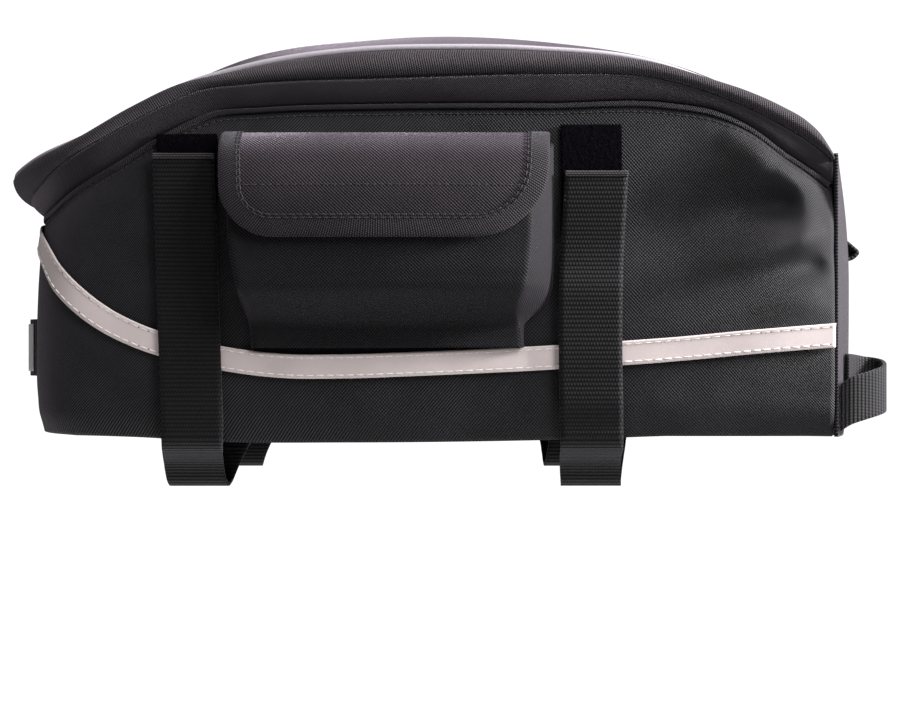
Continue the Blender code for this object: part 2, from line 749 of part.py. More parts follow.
def side_strap(name, middle, top, leans, finish, group, far):
    """Webbing from its stuck end down the side, under the rail's place and up to the base."""
    down = np.linspace(top * HEM_HEIGHT, STRAP_FOOT, 12)
    edges = middle + STRAP_WIDTH * np.array([-0.5, 0.0, 0.5])
    widest = np.max([wall_half_width(np.full(12, x), down) for x in edges], axis=0)
    out = widest + STANDOFF + STRAP_THICKNESS / 2
    along_side = [(-y, z) for y, z in zip(out, down)]
    hang = [(-out[-1] + inwards * RAIL_INSET, -drop * LOOP_DROP) for inwards, drop in STRAP_HANG]
    tab = STRAP_THICKNESS / 2 + GAP
    inner = -out[-1] + RAIL_INSET
    sewn = [(inner + TAB_LENGTH * share, -tab) for share in (0.25, 0.6, 1.0)]
    path = resample(along_side + hang + sewn, 46)
    low = int(np.argmin(path[:, 1]))
    keys = (0, low / 2, low, len(path) - 1)
    shift = STRAP_WIDTH * np.interp(np.arange(len(path)), keys, (0.0, *leans))
    rows = []
    for across in (-0.5, 0.5):
        x = middle + across * STRAP_WIDTH + shift
        rows.append(np.stack((x, path[:, 0], path[:, 1]), axis=-1))
    grid = np.array(rows)
    return sheet(name, mirrored(grid) if far else grid, STRAP_THICKNESS, finish, group)


def front_strap(name, finish, group, far):
    """Webbing loop from the front seam round the place of the rack's hoop and back."""
    points = []
    for forward, inwards, height in FRONT_STRAP_PATH:
        x = FRONT_X + CLOTH + forward * FRONT_STRAP_REACH
        points.append((x, -HALF_WIDTH + inwards * HALF_WIDTH, height * FRONT_STRAP_WIDTH))
    path = resample(points, 26)
    rise = np.array([0.0, 0.0, FRONT_STRAP_WIDTH / 2])
    grid = np.array([path - rise, path + rise])
    return sheet(name, mirrored(grid) if far else grid, STRAP_THICKNESS, finish, group)


def light_loop(webbing, light, group):
    """Webbing loop across the rear panel, with a light strip on its face."""
    points = []
    for across, reach in LIGHT_LOOP_PATH:
        y = across * LIGHT_LOOP_HALF
        x = wall_rear(y, LIGHT_LOOP_HEIGHT) - GAP - STRAP_THICKNESS / 2 - reach * LIGHT_LOOP_REACH
        points.append((x, y, LIGHT_LOOP_HEIGHT))
    path = resample(points, 23)
    rise = np.array([0.0, 0.0, LIGHT_LOOP_WIDTH / 2])
    sheet("light_loop", np.array([path - rise, path + rise]), STRAP_THICKNESS, webbing, group)
    way = np.gradient(path[:, :2], axis=0)
    out = np.stack((-way[:, 1], way[:, 0], np.zeros(len(way))), axis=-1)
    out /= np.linalg.norm(out, axis=1, keepdims=True)
    face = (path + out * (STRAP_THICKNESS / 2 + GAP))[6:-6]
    rise = np.array([0.0, 0.0, LIGHT_TAPE_WIDTH / 2])
    grid = np.array([face - rise, face + rise])
    sheet("light_loop_tape", grid, LIGHT_TAPE_THICKNESS, light, group, side=-1.0)


def front_loop(finish, group):
    """Small webbing loop on the middle of the front panel."""
    points = []
    for reach, height in FRONT_LOOP_PATH:
        z = FRONT_LOOP_HEIGHT + height * FRONT_LOOP_REACH
        x = front_x(0.0, z / front_top(0.0), CLOTH + GAP + FRONT_LOOP_THICKNESS / 2)
        points.append((x + reach * FRONT_LOOP_REACH, z))
    path = resample(points, 19)
    rows = []
    for across in (0.5, -0.5):
        y = np.full(len(path), across * FRONT_LOOP_WIDTH)
        rows.append(np.stack((path[:, 0], y, path[:, 1]), axis=-1))
    return sheet("front_loop", np.array(rows), FRONT_LOOP_THICKNESS, finish, group)


def zip_slider(finish, group):
    """Plain slider and pull on the zip at the far side, near its front end."""
    place = zip_rail()[SLIDER_STATION]
    out = place[1] + ZIP_RADIUS + GAP
    mesh = bpy.data.meshes.new("zip_slider")
    solid = bmesh.new()
    body = bmesh.ops.create_cube(solid, size=1.0)["verts"]
    bmesh.ops.scale(solid, verts=body, vec=SLIDER_SIZE)
    bmesh.ops.translate(solid, verts=body, vec=(place[0], out + SLIDER_SIZE[1] / 2, place[2]))
    solid.to_mesh(mesh)
    solid.free()
    obj = link(bpy.data.objects.new("zip_slider", mesh), "zip_slider", finish, group)
    tab_mesh = bpy.data.meshes.new("pull_tab")
    solid = bmesh.new()
    tab = bmesh.ops.create_cube(solid, size=1.0)["verts"]
    bmesh.ops.scale(solid, verts=tab, vec=PULL_SIZE)
    low = place[2] - PULL_SIZE[2] / 2 + SLIDER_SIZE[2] / 4
    bmesh.ops.translate(solid, verts=tab, vec=(place[0], out + SLIDER_SIZE[1], low))
    solid.to_mesh(tab_mesh)
    solid.free()
    cutter = bpy.data.objects.new("pull_tab", tab_mesh)
    cutter.hide_render = True
    cutter.display_type = "WIRE"
    bpy.data.collections["guides"].objects.link(cutter)
    joined = obj.modifiers.new("Pull", "BOOLEAN")
    joined.operation = "UNION"
    joined.object = cutter
    rounded = obj.modifiers.new("Edges", "BEVEL")
    rounded.width = SLIDER_BEVEL
    rounded.segments = 1
    return obj


def build():
    for obj in list(bpy.data.objects):
        bpy.data.objects.remove(obj, do_unlink=True)
    group = bpy.data.collections.new("rack_bag")
    guides = bpy.data.collections.new("guides")
    bpy.context.scene.collection.children.link(group)
    bpy.context.scene.collection.children.link(guides)

    nylon = material("nylon", (0.018, 0.016, 0.020), 0.55)
    crown_nylon = material("crown_nylon", (0.022, 0.019, 0.024), 0.50)
    base = material("base_nylon", (0.014, 0.013, 0.015), 0.70)
    tape = material("zip_tape", (0.016, 0.014, 0.018), 0.75)
    coil = material("zip_coil", (0.012, 0.012, 0.013), 0.40)
    slider = material("zip_metal", (0.030, 0.030, 0.032), 0.35)
    light = material("reflective", (0.52, 0.48, 0.51), 0.45)
    piping = material("piping", (0.70, 0.69, 0.68), 0.40)
    binding = material("binding", (0.017, 0.015, 0.019), 0.70)
    webbing = material("webbing", (0.012, 0.011, 0.013), 0.65)
    fuzz = material("loop_pile", (0.008, 0.007, 0.009), 0.95)

    body_walls(nylon, group)
    base_panel(base, group)
    front_panel(nylon, group)
    lid_crown(crown_nylon, group)
    lid_piping(piping, group)
    zip_band(tape, coil, group)
    zip_slider(slider, group)
    reflective_tape(light, group)
    for side, far in (("right", False), ("left", True)):
        pocket(f"pocket_{side}", nylon, group, far)
        flap(f"flap_{side}", nylon, group, far)
        flap_binding(f"flap_binding_{side}", binding, group, far)
        for end, place, top, patch_low, patch_top, *leans in STRAPS:
            middle = REAR_X + place * BODY_LENGTH
            loop_patch(f"loop_patch_{end}_{side}", middle, patch_low, patch_top, fuzz, group, far)
            side_strap(f"strap_{end}_{side}", middle, top, leans, webbing, group, far)
        front_strap(f"front_strap_{side}", webbing, group, far)
    light_loop(webbing, light, group)
    front_loop(webbing, group)


build()
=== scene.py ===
import math

import bmesh
import bpy
import numpy as np
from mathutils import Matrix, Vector


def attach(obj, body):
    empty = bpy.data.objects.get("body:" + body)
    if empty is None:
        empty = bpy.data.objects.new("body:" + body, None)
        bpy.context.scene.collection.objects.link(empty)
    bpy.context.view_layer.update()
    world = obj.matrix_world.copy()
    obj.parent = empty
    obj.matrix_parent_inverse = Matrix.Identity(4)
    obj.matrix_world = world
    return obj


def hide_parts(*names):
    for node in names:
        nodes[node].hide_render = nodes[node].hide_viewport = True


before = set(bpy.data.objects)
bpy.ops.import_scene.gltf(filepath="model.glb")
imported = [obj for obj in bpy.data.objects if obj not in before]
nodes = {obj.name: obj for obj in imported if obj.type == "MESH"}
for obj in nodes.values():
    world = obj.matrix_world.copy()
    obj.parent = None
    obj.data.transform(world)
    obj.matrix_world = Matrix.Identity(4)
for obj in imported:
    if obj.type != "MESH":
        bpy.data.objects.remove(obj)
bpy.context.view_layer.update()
print("frame loaded:", len(nodes), "nodes")

# the bag's own sizes, in metres: +X to the saddle end, seen side at -Y, z = 0 under the base
bag = {
    "length": 0.332,
    "width": 0.173,
    "bulge": 0.0025,
    "hemHeight": 0.135,
    "sag": 0.0025,
    "rearRound": 0.045,
    "rearPower": 3.0,
    "cloth": 0.0016,
    "gap": 0.0003,
}
lid = {
    "bandWidth": 0.0195,
    "rise": 0.0405,
    "zipOverhang": 0.0068,
    "edgeOverhang": 0.0155,
    "round": 0.055,
    "power": 2.6,
    "pipingDiameter": 0.0029,
    "pipingInset": 0.0037,
    "ridgeStart": 0.036,
    "cloth": 0.0022,
    "frontTurn": ((0.0009, 0, 0.0060), (0.0001, 0, 0.0012)),
}
frontPanel = {"bulge": 0.018, "power": 2.5, "topRise": 0.005, "across": 120, "up": 90}
frontX, rearX, halfWidth = bag["length"] / 2, -bag["length"] / 2, bag["width"] / 2
cornerShare = 0.25  # share of the way round each side that the rear corner takes

# side view: place from the front seam to the rear, hem, zip and edge above it, piping, crown
profile = np.array([
    (0.00, 0.755, 0.49, 0.66, -0.4, 0.47),
    (0.015, 0.782, 0.53, 0.88, -0.4, 0.525),
    (0.03, 0.807, 0.55, 0.96, -0.4, 0.57),
    (0.06, 0.854, 0.54, 0.95, -0.4, 0.62),
    (0.10, 0.926, 0.40, 0.77, -0.4, 0.59),
    (0.14, 0.973, 0.36, 0.68, -0.3, 0.61),
    (0.20, 1.000, 0.48, 0.81, 0.1, 0.70),
    (0.35, 1.000, 0.61, 0.99, 1.12, 0.94),
    (0.45, 1.000, 0.57, 1.00, 1.30, 0.995),
    (0.55, 0.998, 0.53, 0.95, 1.40, 0.965),
    (0.70, 0.987, 0.49, 0.71, 0.75, 0.795),
    (0.76, 0.973, 0.45, 0.60, -0.1, 0.61),
    (0.82, 0.905, 0.45, 0.57, -0.3, 0.56),
    (0.88, 0.816, 0.50, 0.58, 0.0, 0.575),
    (0.93, 0.743, 0.51, 0.70, 0.45, 0.585),
    (0.97, 0.685, 0.44, 0.82, 0.70, 0.59),
    (1.00, 0.674, 0.33, 0.80, 0.75, 0.48),
])
# section of the wall: height share, outset share
wallSection = np.array([
    (0.00, -1.00), (0.03, -0.35), (0.08, 0.50), (0.17, 0.90), (0.35, 1.00),
    (0.55, 0.90), (0.75, 0.60), (0.90, 0.15), (1.00, -0.50),
])
# sag of the wall's lower edge along the bag, then the front panel's bulge up its height
lowerEdge = np.array([
    (0.00, 0.0), (0.15, -0.2), (0.35, 0.6), (0.60, 1.0), (0.75, 0.9), (0.86, 0.1), (1.00, -0.3),
])
frontSection = np.array([
    (0.00, 0.80), (0.06, 0.90), (0.20, 0.97), (0.45, 1.00), (0.65, 0.97),
    (0.78, 0.88), (0.88, 0.75), (0.95, 0.61), (1.00, 0.48),
])
# folds of the side panels: x, z, slope in degrees, half length, half width, depth
folds = np.array([
    (0.1040, 0.0856, 12.0, 0.0540, 0.0155, -0.00500),
    (0.1400, 0.0938, 13.0, 0.0190, 0.0085, -0.00230),
    (0.1397, 0.1097, -33.0, 0.0200, 0.0062, 0.00190),
    (0.1543, 0.0890, 82.0, 0.0125, 0.0042, 0.00130),
    (0.1357, 0.0649, 16.0, 0.0330, 0.0075, -0.00250),
    (0.1277, 0.0752, 19.0, 0.0370, 0.0075, 0.00160),
    (0.1277, 0.0535, 23.0, 0.0300, 0.0062, 0.00110),
    (0.1062, 0.0702, 24.0, 0.0405, 0.0122, 0.00050),
    (0.1400, 0.1065, 60.0, 0.0110, 0.0035, -0.00030),
    (0.1180, 0.1200, 70.0, 0.0095, 0.0030, -0.00035),
    (0.1150, 0.0440, 27.0, 0.0340, 0.0050, -0.00060),
    (0.1000, 0.0380, 24.0, 0.0300, 0.0045, 0.00040),
    (0.1080, 0.0830, 20.0, 0.0300, 0.0042, 0.00040),
    (-0.1300, 0.0800, 75.0, 0.0300, 0.0060, -0.00060),
    (-0.1380, 0.0300, 82.0, 0.0220, 0.0050, 0.00050),
    (0.0250, 0.0120, 4.0, 0.0500, 0.0040, 0.00050),
    (-0.0500, 0.0140, -3.0, 0.0400, 0.0040, -0.00040),
])
# creases that start at a point and fan out: x, z, direction in degrees, length, width, height
creases = np.array([
    (0.1520, 0.0958, 192.0, 0.036, 0.0048, -0.0034),
    (0.1640, 0.0698, 187.0, 0.028, 0.0036, -0.0034),
    (0.1640, 0.0830, 203.0, 0.060, 0.0042, 0.0018),
    (0.1640, 0.0560, 199.0, 0.050, 0.0040, 0.0014),
    (0.1460, 0.1085, 168.0, 0.014, 0.0020, -0.0007),
    (0.1240, 0.1230, 155.0, 0.012, 0.0018, -0.0006),
    (0.0440, 0.0300, 200.0, 0.030, 0.0030, 0.0006),
])
# swell of the side panels behind the front seam: its height, the roll to the seam, how far it
# fades rearwards, where it starts above the base and over what height, and the fade to the hem
swell = {
    "height": 0.0046, "roll": 0.020, "rearward": 0.045, "from": 0.044, "over": 0.028,
    "under": 0.008,
}


def readTable(table, column, at):
    # cubic between the rows of a table, with each row's slope from its neighbours
    keys, values = table[:, 0], table[:, column]
    slopes = np.gradient(values, keys)
    at = np.clip(at, keys[0], keys[-1])
    i = np.clip(np.searchsorted(keys, at, side="right") - 1, 0, len(keys) - 2)
    step = keys[i + 1] - keys[i]
    t = (at - keys[i]) / step
    return (
        (2 * t**3 - 3 * t**2 + 1) * values[i]
        + (t**3 - 2 * t**2 + t) * step * slopes[i]
        + (3 * t**2 - 2 * t**3) * values[i + 1]
        + (t**3 - t**2) * step * slopes[i + 1]
    )


def summed(steps):
    # running total that starts at 0
    return np.concatenate(([0.0], np.cumsum(steps)))


def lengthAlong(line):
    return summed(np.linalg.norm(np.diff(line, axis=0), axis=-1))


def alongLine(points, count):
    # evenly spaced points on a cubic through the given ones
    points = np.asarray(points, float)
    run = lengthAlong(points)
    at = np.linspace(0, run[-1], count)
    return np.stack([readTable(np.stack((run, c), 1), 1, at) for c in points.T], -1)


def pick(rows, run, at):
    # values at lengths along a line, read linearly between its rows
    return np.stack([np.interp(at, run, column) for column in rows.T], -1)


def together(*parts):
    # points, directions or cloth coordinates from their parts, each spread over the same grid
    return np.stack(np.broadcast_arrays(*parts), -1)


def unit(v):
    return v / np.maximum(np.linalg.norm(v, axis=-1, keepdims=True), 1e-12)


def smooth(t):
    # 3 t^2 - 2 t^3, from 0 to 1
    t = np.clip(t, 0, 1)
    return t * t * (3 - 2 * t)


def waves(x, z, seed, scale):
    # soft unevenness of cloth: a sum of six sine waves in seeded directions, between -1 and 1
    count = 6
    rng = np.random.default_rng(seed)
    total = np.zeros(np.broadcast(x, z).shape)
    for turn, phase, size in rng.uniform((0, 0, 0.6), (math.pi, 6.3, 1.7), (count, 3)):
        run = x * math.cos(turn) + z * math.sin(turn)
        total = total + np.sin(run / (scale * size) + phase)
    return total / count


def planAt(q, half, rear, length=bag["rearRound"], power=bag["rearPower"]):
    # U in plan: q runs 0 to 1 from the front seam along the seen side and round the corner to the
    # middle of the rear, then 1 to 2 back on the far side; the corner is |y/w|^p + |x/l|^p = 1
    a = np.linspace(0, math.pi / 2, 500)
    cx, cy = length * np.sin(a) ** (2 / power), halfWidth * np.cos(a) ** (2 / power)
    run = summed(np.hypot(np.diff(cx), np.diff(cy)))
    near = np.minimum(q, 2 - q)
    turn = rear + length
    angle = np.interp((near - 1 + cornerShare) / cornerShare, run / run[-1], a)
    straight = frontX + (turn - frontX) * np.minimum(near / (1 - cornerShare), 1)
    x = np.where(near < 1 - cornerShare, straight, turn - length * np.sin(angle) ** (2 / power))
    y = np.where(q <= 1, -1, 1) * half * np.cos(angle) ** (2 / power)
    return x, y


def planNormal(q):
    # outward normal in plan, from a small step to both sides
    step = 0.004
    xa, ya = planAt(np.clip(q - step, 0, 2), halfWidth, rearX)
    xb, yb = planAt(np.clip(q + step, 0, 2), halfWidth, rearX)
    n = unit(together(ya - yb, xb - xa))
    return n[..., 0], n[..., 1]


def placeAt(x):
    # place along the bag: 0 at the front seam, 1 at the rear
    return (frontX - x) / bag["length"]


def hemHeight(place):
    return bag["hemHeight"] * readTable(profile, 1, place)


def lowHeight(place):
    return -bag["sag"] * readTable(lowerEdge, 1, place)


def alongAndAside(x, z, startX, startZ, degrees):
    # lengths along a slanted line and to the side of it
    c, s = math.cos(math.radians(degrees)), math.sin(math.radians(degrees))
    return (x - startX) * c + (z - startZ) * s, (z - startZ) * c - (x - startX) * s


def relief(x, z):
    # how far the side panels stand out. A fold is depth exp(-(along/long)^2 - (aside/wide)^2). A
    # crease is height (1 - exp(-(along/rise)^1.5)) exp(-(along/long)^1.6 - (aside/fan)^2), with a
    # fan that widens along it. The swell is height (1 - roll^2) times its three fades
    total = waves(x, z, 3, 0.011) * 0.00022
    for startX, startZ, slope, length, width, depth in folds:
        along, aside = alongAndAside(x, z, startX, startZ, slope)
        total = total + depth * np.exp(-((along / length) ** 2) - (aside / width) ** 2)
    rise, widening = 0.004, 0.22
    for startX, startZ, slope, length, width, height in creases:
        along, aside = alongAndAside(x, z, startX, startZ, slope)
        ahead = np.maximum(along, 0)
        fan = width + widening * ahead
        begin = 1 - np.exp(-((ahead / rise) ** 1.5))
        fade = np.exp(-((ahead / length) ** 1.6))
        total = total + height * begin * fade * np.exp(-((aside / fan) ** 2))
    roll = np.clip((x - frontX) / swell["roll"] + 1, 0, 1)
    back = smooth((x - frontX + swell["roll"]) / swell["rearward"] + 1)
    up = smooth((z - swell["from"]) / swell["over"])
    under = smooth((hemHeight(placeAt(x)) - z) / swell["under"])
    return total + swell["height"] * (1 - roll**2) * back * up * under


def wallPoint(q, v, lift=0.0):
    # body wall: outline q round the bag and height share v, pushed out by the section, which is
    # fuller low down at the rear, by the relief of the straight sides and by a lift
    near = np.minimum(q, 2 - q)
    share = readTable(wallSection, 1, v)
    fuller = np.clip((near - 0.8) / 0.15, 0, 1) * np.clip((0.3 - v) / 0.3, 0, 1)
    outset = bag["bulge"] * (share + (0.55 - share) * fuller)
    x, y = planAt(q, halfWidth + outset, rearX - outset)
    place = (frontX - x) / (bag["length"] + outset)
    low = lowHeight(place)
    z = low + v * (hemHeight(place) - low)
    straight = np.clip((0.80 - near) / 0.06, 0, 1)
    nx, ny = planNormal(q)
    push = relief(x, z) * straight + lift
    return together(x + nx * push, y + ny * push, z + 0 * q)


def heightShare(x, z):
    place = placeAt(x)
    low = lowHeight(place)
    return (z - low) / (hemHeight(place) - low)


def wallShare(q, z):
    # height share of the wall at a height z
    return heightShare(planAt(q, halfWidth, rearX)[0], z)


def wallHalf(x, z):
    # half width of the bag's straight sides, outside
    return halfWidth + bag["bulge"] * readTable(wallSection, 1, heightShare(x, z)) + relief(x, z)


def frontPanelX(y, v, outset=0.0):
    # front panel bulges forward as 1 - |y/w|^p, more at mid height than at the top
    across = np.clip(np.abs(y) / halfWidth, 0, 1)
    bulge = frontPanel["bulge"] * readTable(frontSection, 1, v)
    return frontX + bag["gap"] + outset + bulge * (1 - across ** frontPanel["power"])


# pieces beside the middle are made for the seen side and mirrored for the far one
seenSide, farSide = np.array([1.0, 1.0, 1.0]), np.array([1.0, -1.0, 1.0])
bothSides = (("right", seenSide), ("left", farSide))


def facing(grid, side):
    # the mirrored grid has its rows reversed, so that it still faces outward
    return grid if side is seenSide else grid[::-1] * side


def quadMesh(name, points, quads):
    mesh = bpy.data.meshes.new(name)
    mesh.vertices.add(points.size // 3)
    mesh.vertices.foreach_set("co", points.reshape(-1).astype(np.float32))
    mesh.loops.add(quads.size)
    mesh.loops.foreach_set("vertex_index", quads.reshape(-1).astype(np.int32))
    mesh.polygons.add(len(quads))
    mesh.polygons.foreach_set("loop_start", np.arange(0, quads.size, 4, dtype=np.int32))
    mesh.polygons.foreach_set("use_smooth", np.ones(len(quads), dtype=bool))
    mesh.update(calc_edges=True)
    return mesh


def gridMesh(name, points, uv=None, closeAround=False):
    # quads between the rows and columns of a grid of points; uv is in metres on the cloth
    rows, cols = points.shape[:2]
    index = np.arange(rows * cols).reshape(rows, cols)
    if closeAround:
        index = np.concatenate((index, index[:, :1]), axis=1)
    corners = (index[:-1, :-1], index[:-1, 1:], index[1:, 1:], index[1:, :-1])
    quads = np.stack(corners, -1).reshape(-1, 4)
    mesh = quadMesh(name, points, quads)
    if uv is not None:
        layer = mesh.uv_layers.new(name="cloth")
        layer.data.foreach_set("uv", uv.reshape(-1, 2)[quads.ravel()].ravel().astype(np.float32))
    return mesh


def edited(mesh, *steps):
    # the mesh after some steps on its points and faces
    made = bmesh.new()
    made.from_mesh(mesh)
    for step in steps:
        step(made)
    made.to_mesh(mesh)
    made.free()
    return mesh


def weld(made):
    bmesh.ops.remove_doubles(made, verts=made.verts, dist=0.00002)


def closeEnds(made):
    bmesh.ops.holes_fill(made, edges=made.edges, sides=0)


def turnOutward(made):
    bmesh.ops.recalc_face_normals(made, faces=made.faces)


def lengthsUv(points):
    # cloth coordinates from the mean lengths along the columns and down the rows
    u = summed(np.linalg.norm(np.diff(points, axis=1), axis=-1).mean(0))
    v = summed(np.linalg.norm(np.diff(points, axis=0), axis=-1).mean(1))
    return together(u[None, :], v[:, None])


def addPiece(name, mesh, look, replaces=()):
    obj = bpy.data.objects.new(name, mesh)
    bpy.context.scene.collection.objects.link(obj)
    mesh.materials.append(looks[look])
    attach(obj, "root")
    if replaces:
        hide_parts(*replaces)
    return obj


def addSheet(name, points, thickness, side, look, replaces=(), uv=None, held=None):
    # cloth: an open surface with a wall; side is 1 along its normal, -1 against it, 0 both ways
    layout = lengthsUv(points)
    mesh = edited(gridMesh(name, points, layout if uv is None else uv), weld)
    obj = addPiece(name, mesh, look, replaces)
    wall = obj.modifiers.new("wall", "SOLIDIFY")
    wall.thickness = thickness
    wall.offset = side
    if held:
        # the cut's area is the sum of half the cross products of the quads' diagonals
        one, two = points[1:, 1:] - points[:-1, :-1], points[1:, :-1] - points[:-1, 1:]
        cut = np.linalg.norm(np.cross(one, two), axis=-1).sum() / 2


def addTube(name, points, uv, look, replaces=()):
    # rings of points along a line, closed at both ends
    mesh = edited(gridMesh(name, points, uv, closeAround=True), closeEnds, turnOutward)
    addPiece(name, mesh, look, replaces)


def addBand(name, line, normal, across, section, look, replaces=()):
    # closed section (n, 2) carried along a line: first column across it, second along its normal
    points = (line[:, None] + across[:, None] * section[None, :, :1]
              + normal[:, None] * section[None, :, 1:])
    uv = together(lengthAlong(line)[:, None], lengthAlong(section)[None, :])
    addTube(name, points, uv, look, replaces)


def flatSection(width, thick, steps=5):
    # rounded flat section: |x/a|^8 + |y/b|^2.6 = 1
    a = np.linspace(0, 2 * math.pi, 8 * steps, endpoint=False)
    c, s = np.cos(a), np.sin(a)
    return together(
        width / 2 * np.sign(c) * np.abs(c) ** (2 / 8),
        thick / 2 * np.sign(s) * np.abs(s) ** (2 / 2.6),
    )


def spindles(places, along, across, normal, size):
    # one small rounded body at each place, of five rings of six points with two faces over each
    # end; size is half its length, half its width and half its height
    rings = np.array([(-1.0, 0.30), (-0.72, 0.82), (0.0, 1.0), (0.72, 0.82), (1.0, 0.30)])
    a = np.arange(6) * math.pi / 3
    t = np.repeat(rings[:, 0], 6) * size[0]
    w = np.outer(rings[:, 1], np.cos(a)).ravel() * size[1]
    h = np.outer(rings[:, 1], np.sin(a)).ravel() * size[2]
    points = (places[:, None] + along[:, None] * t[None, :, None]
              + across[:, None] * w[None, :, None] + normal[:, None] * h[None, :, None])
    k = np.arange(6)
    after = (k + 1) % 6
    belts = [together(r + k, r + after, r + 6 + after, r + 6 + k) for r in (0, 6, 12, 18)]
    caps = np.array([(5, 4, 1, 0), (4, 3, 2, 1), (24, 25, 28, 29), (25, 26, 27, 28)])
    quads = np.concatenate(belts + [caps])
    first = 30 * np.arange(len(places))[:, None, None]
    return points.reshape(-1, 3), (quads[None] + first).reshape(-1, 4)


def addSpindles(name, groups, look, replaces=()):
    points, quads, base = [], [], 0
    for group in groups:
        groupPoints, groupQuads = spindles(*group)
        points.append(groupPoints)
        quads.append(groupQuads + base)
        base += len(groupPoints)
    mesh = quadMesh(name, np.concatenate(points), np.concatenate(quads))
    addPiece(name, edited(mesh, turnOutward), look, replaces)


def stitchesOn(line, normal, pitch, length, radius, start=0.5):
    # spindles at even spacing along a line, each turned the way that the line runs there
    run = lengthAlong(line)
    at = np.arange(start * pitch, run[-1] - 0.3 * pitch, pitch)
    near = 0.0003
    along = unit(pick(line, run, at + near) - pick(line, run, at - near))
    up = unit(pick(normal, run, at))
    return pick(line, run, at), along, np.cross(up, along), up, (length / 2, radius, radius)


class Wire:
    # one shader socket; the usual operators on it add Math nodes
    def __init__(self, socket):
        self.socket = socket

    def math(self, operation, *others):
        return Shade(self.socket.id_data).math(operation, self, *others)

    def __add__(self, other):
        return self.math("ADD", other)

    def __sub__(self, other):
        return self.math("SUBTRACT", other)

    def __mul__(self, other):
        return self.math("MULTIPLY", other)

    def __truediv__(self, other):
        return self.math("DIVIDE", other)

    def __pow__(self, other):
        return self.math("POWER", other)

    def __rsub__(self, other):
        return Shade(self.socket.id_data).math("SUBTRACT", other, self)

    __radd__ = __add__
    __rmul__ = __mul__

    def sin(self):
        return self.math("SINE")

    def abs(self):
        return self.math("ABSOLUTE")

    def clamp(self):
        return self.math("MAXIMUM", 0.0).math("MINIMUM", 1.0)


class Shade:
    # adds nodes to one material's tree
    def __init__(self, tree):
        self.tree = tree

    def node(self, kind, settings, sockets, out=0):
        made = self.tree.nodes.new(kind)
        for key, value in settings.items():
            setattr(made, key, value)
        for key, value in sockets.items():
            if isinstance(value, Wire):
                self.tree.links.new(value.socket, made.inputs[key])
            else:
                made.inputs[key].default_value = value
        return Wire(made.outputs[out])

    def math(self, operation, *values):
        return self.node("ShaderNodeMath", {"operation": operation}, dict(enumerate(values)))

    def parts(self, vector):
        # first two parts of a vector
        split = self.node("ShaderNodeSeparateXYZ", {}, {0: vector}).socket.node
        return Wire(split.outputs[0]), Wire(split.outputs[1])

    def cloth(self, onObject=False):
        # cloth coordinates in millimetres; a node that keeps its own mesh is measured on the bag
        if onObject:
            u, v = self.parts(self.node("ShaderNodeTexCoord", {}, {}, "Object"))
        else:
            u, v = self.parts(self.node("ShaderNodeUVMap", {"uv_map": "cloth"}, {}))
        return u * 1000, v * 1000

    def spread(self, scale, detail=3.0, rough=0.55):
        # noise on object coordinates, 0 to 1
        place = self.node("ShaderNodeTexCoord", {}, {}, "Object")
        return self.node("ShaderNodeTexNoise", {}, {
            "Vector": place, "Scale": scale, "Detail": detail, "Roughness": rough})

    def blend(self, factor, first, second):
        # the colour sockets of a mix node are numbers 6 and 7, and its colour output is number 2
        first, second = (c if isinstance(c, Wire) else (*c, 1) for c in (first, second))
        inputs = {0: factor, 6: first, 7: second}
        return self.node("ShaderNodeMix", {"data_type": "RGBA"}, inputs, 2)

    def bump(self, height, strength, distance):
        return self.node("ShaderNodeBump", {}, {
            "Height": height, "Strength": strength, "Distance": distance})


def newMaterial(name, fixed):
    made = bpy.data.materials.new(name)
    made.use_nodes = True
    shader = made.node_tree.nodes["Principled BSDF"]
    for key, value in fixed.items():
        shader.inputs[key].default_value = value
    return made, shader, Shade(made.node_tree)


def plug(shade, shader, key, wire):
    shade.tree.links.new(wire.socket, shader.inputs[key])


def nylonCloth(name, dark, light, thread=0.68, slant=0.0, sheen=0.15, patch=0.5, deep=0.00020,
               onObject=False, contrast=0.42):
    # plain weave of thick threads: cos(pi (u + v) / w) and cos(pi (u - v) / w) make a board of
    # raised dots, and a slow noise lets one or the other slant stand out from place to place
    made, shader, s = newMaterial(name, {
        "Sheen Weight": sheen, "Sheen Roughness": 0.4, "Sheen Tint": (0.80, 0.68, 0.82, 1),
        "Specular IOR Level": 0.10})
    u, v = s.cloth(onObject)
    drift = s.spread(9.0, 2.0) * 3.0
    toFront, _ = s.parts(s.node("ShaderNodeTexCoord", {}, {}, "Object"))
    lean = ((s.spread(17.0, 2.0) - 0.5) * 1.4 - toFront * 3.5 + slant + 0.5).clamp()
    up = ((u + v + drift) * (math.pi / thread)).math("COSINE")
    down = ((u - v + drift) * (math.pi / thread)).math("COSINE")
    height = up * lean + down * (1 - lean)
    uneven = s.spread(45.0, 4.0)
    grain = s.spread(1900.0, 2.0)
    # the raised dots are painted lighter than the hollows between them: the weave's own pattern
    # with a painted highlight on the thread crowns
    tone = (height * contrast + 0.34 + (uneven - 0.5) * patch + (grain - 0.5) * 0.5).clamp()
    plug(s, shader, "Base Color", s.blend(tone ** 1.5, dark, light))
    plug(s, shader, "Roughness", (uneven - 0.5) * 0.3 + 0.60 - height * 0.08)
    plug(s, shader, "Normal", s.bump(height + grain * 0.5, 0.6, deep))
    return made


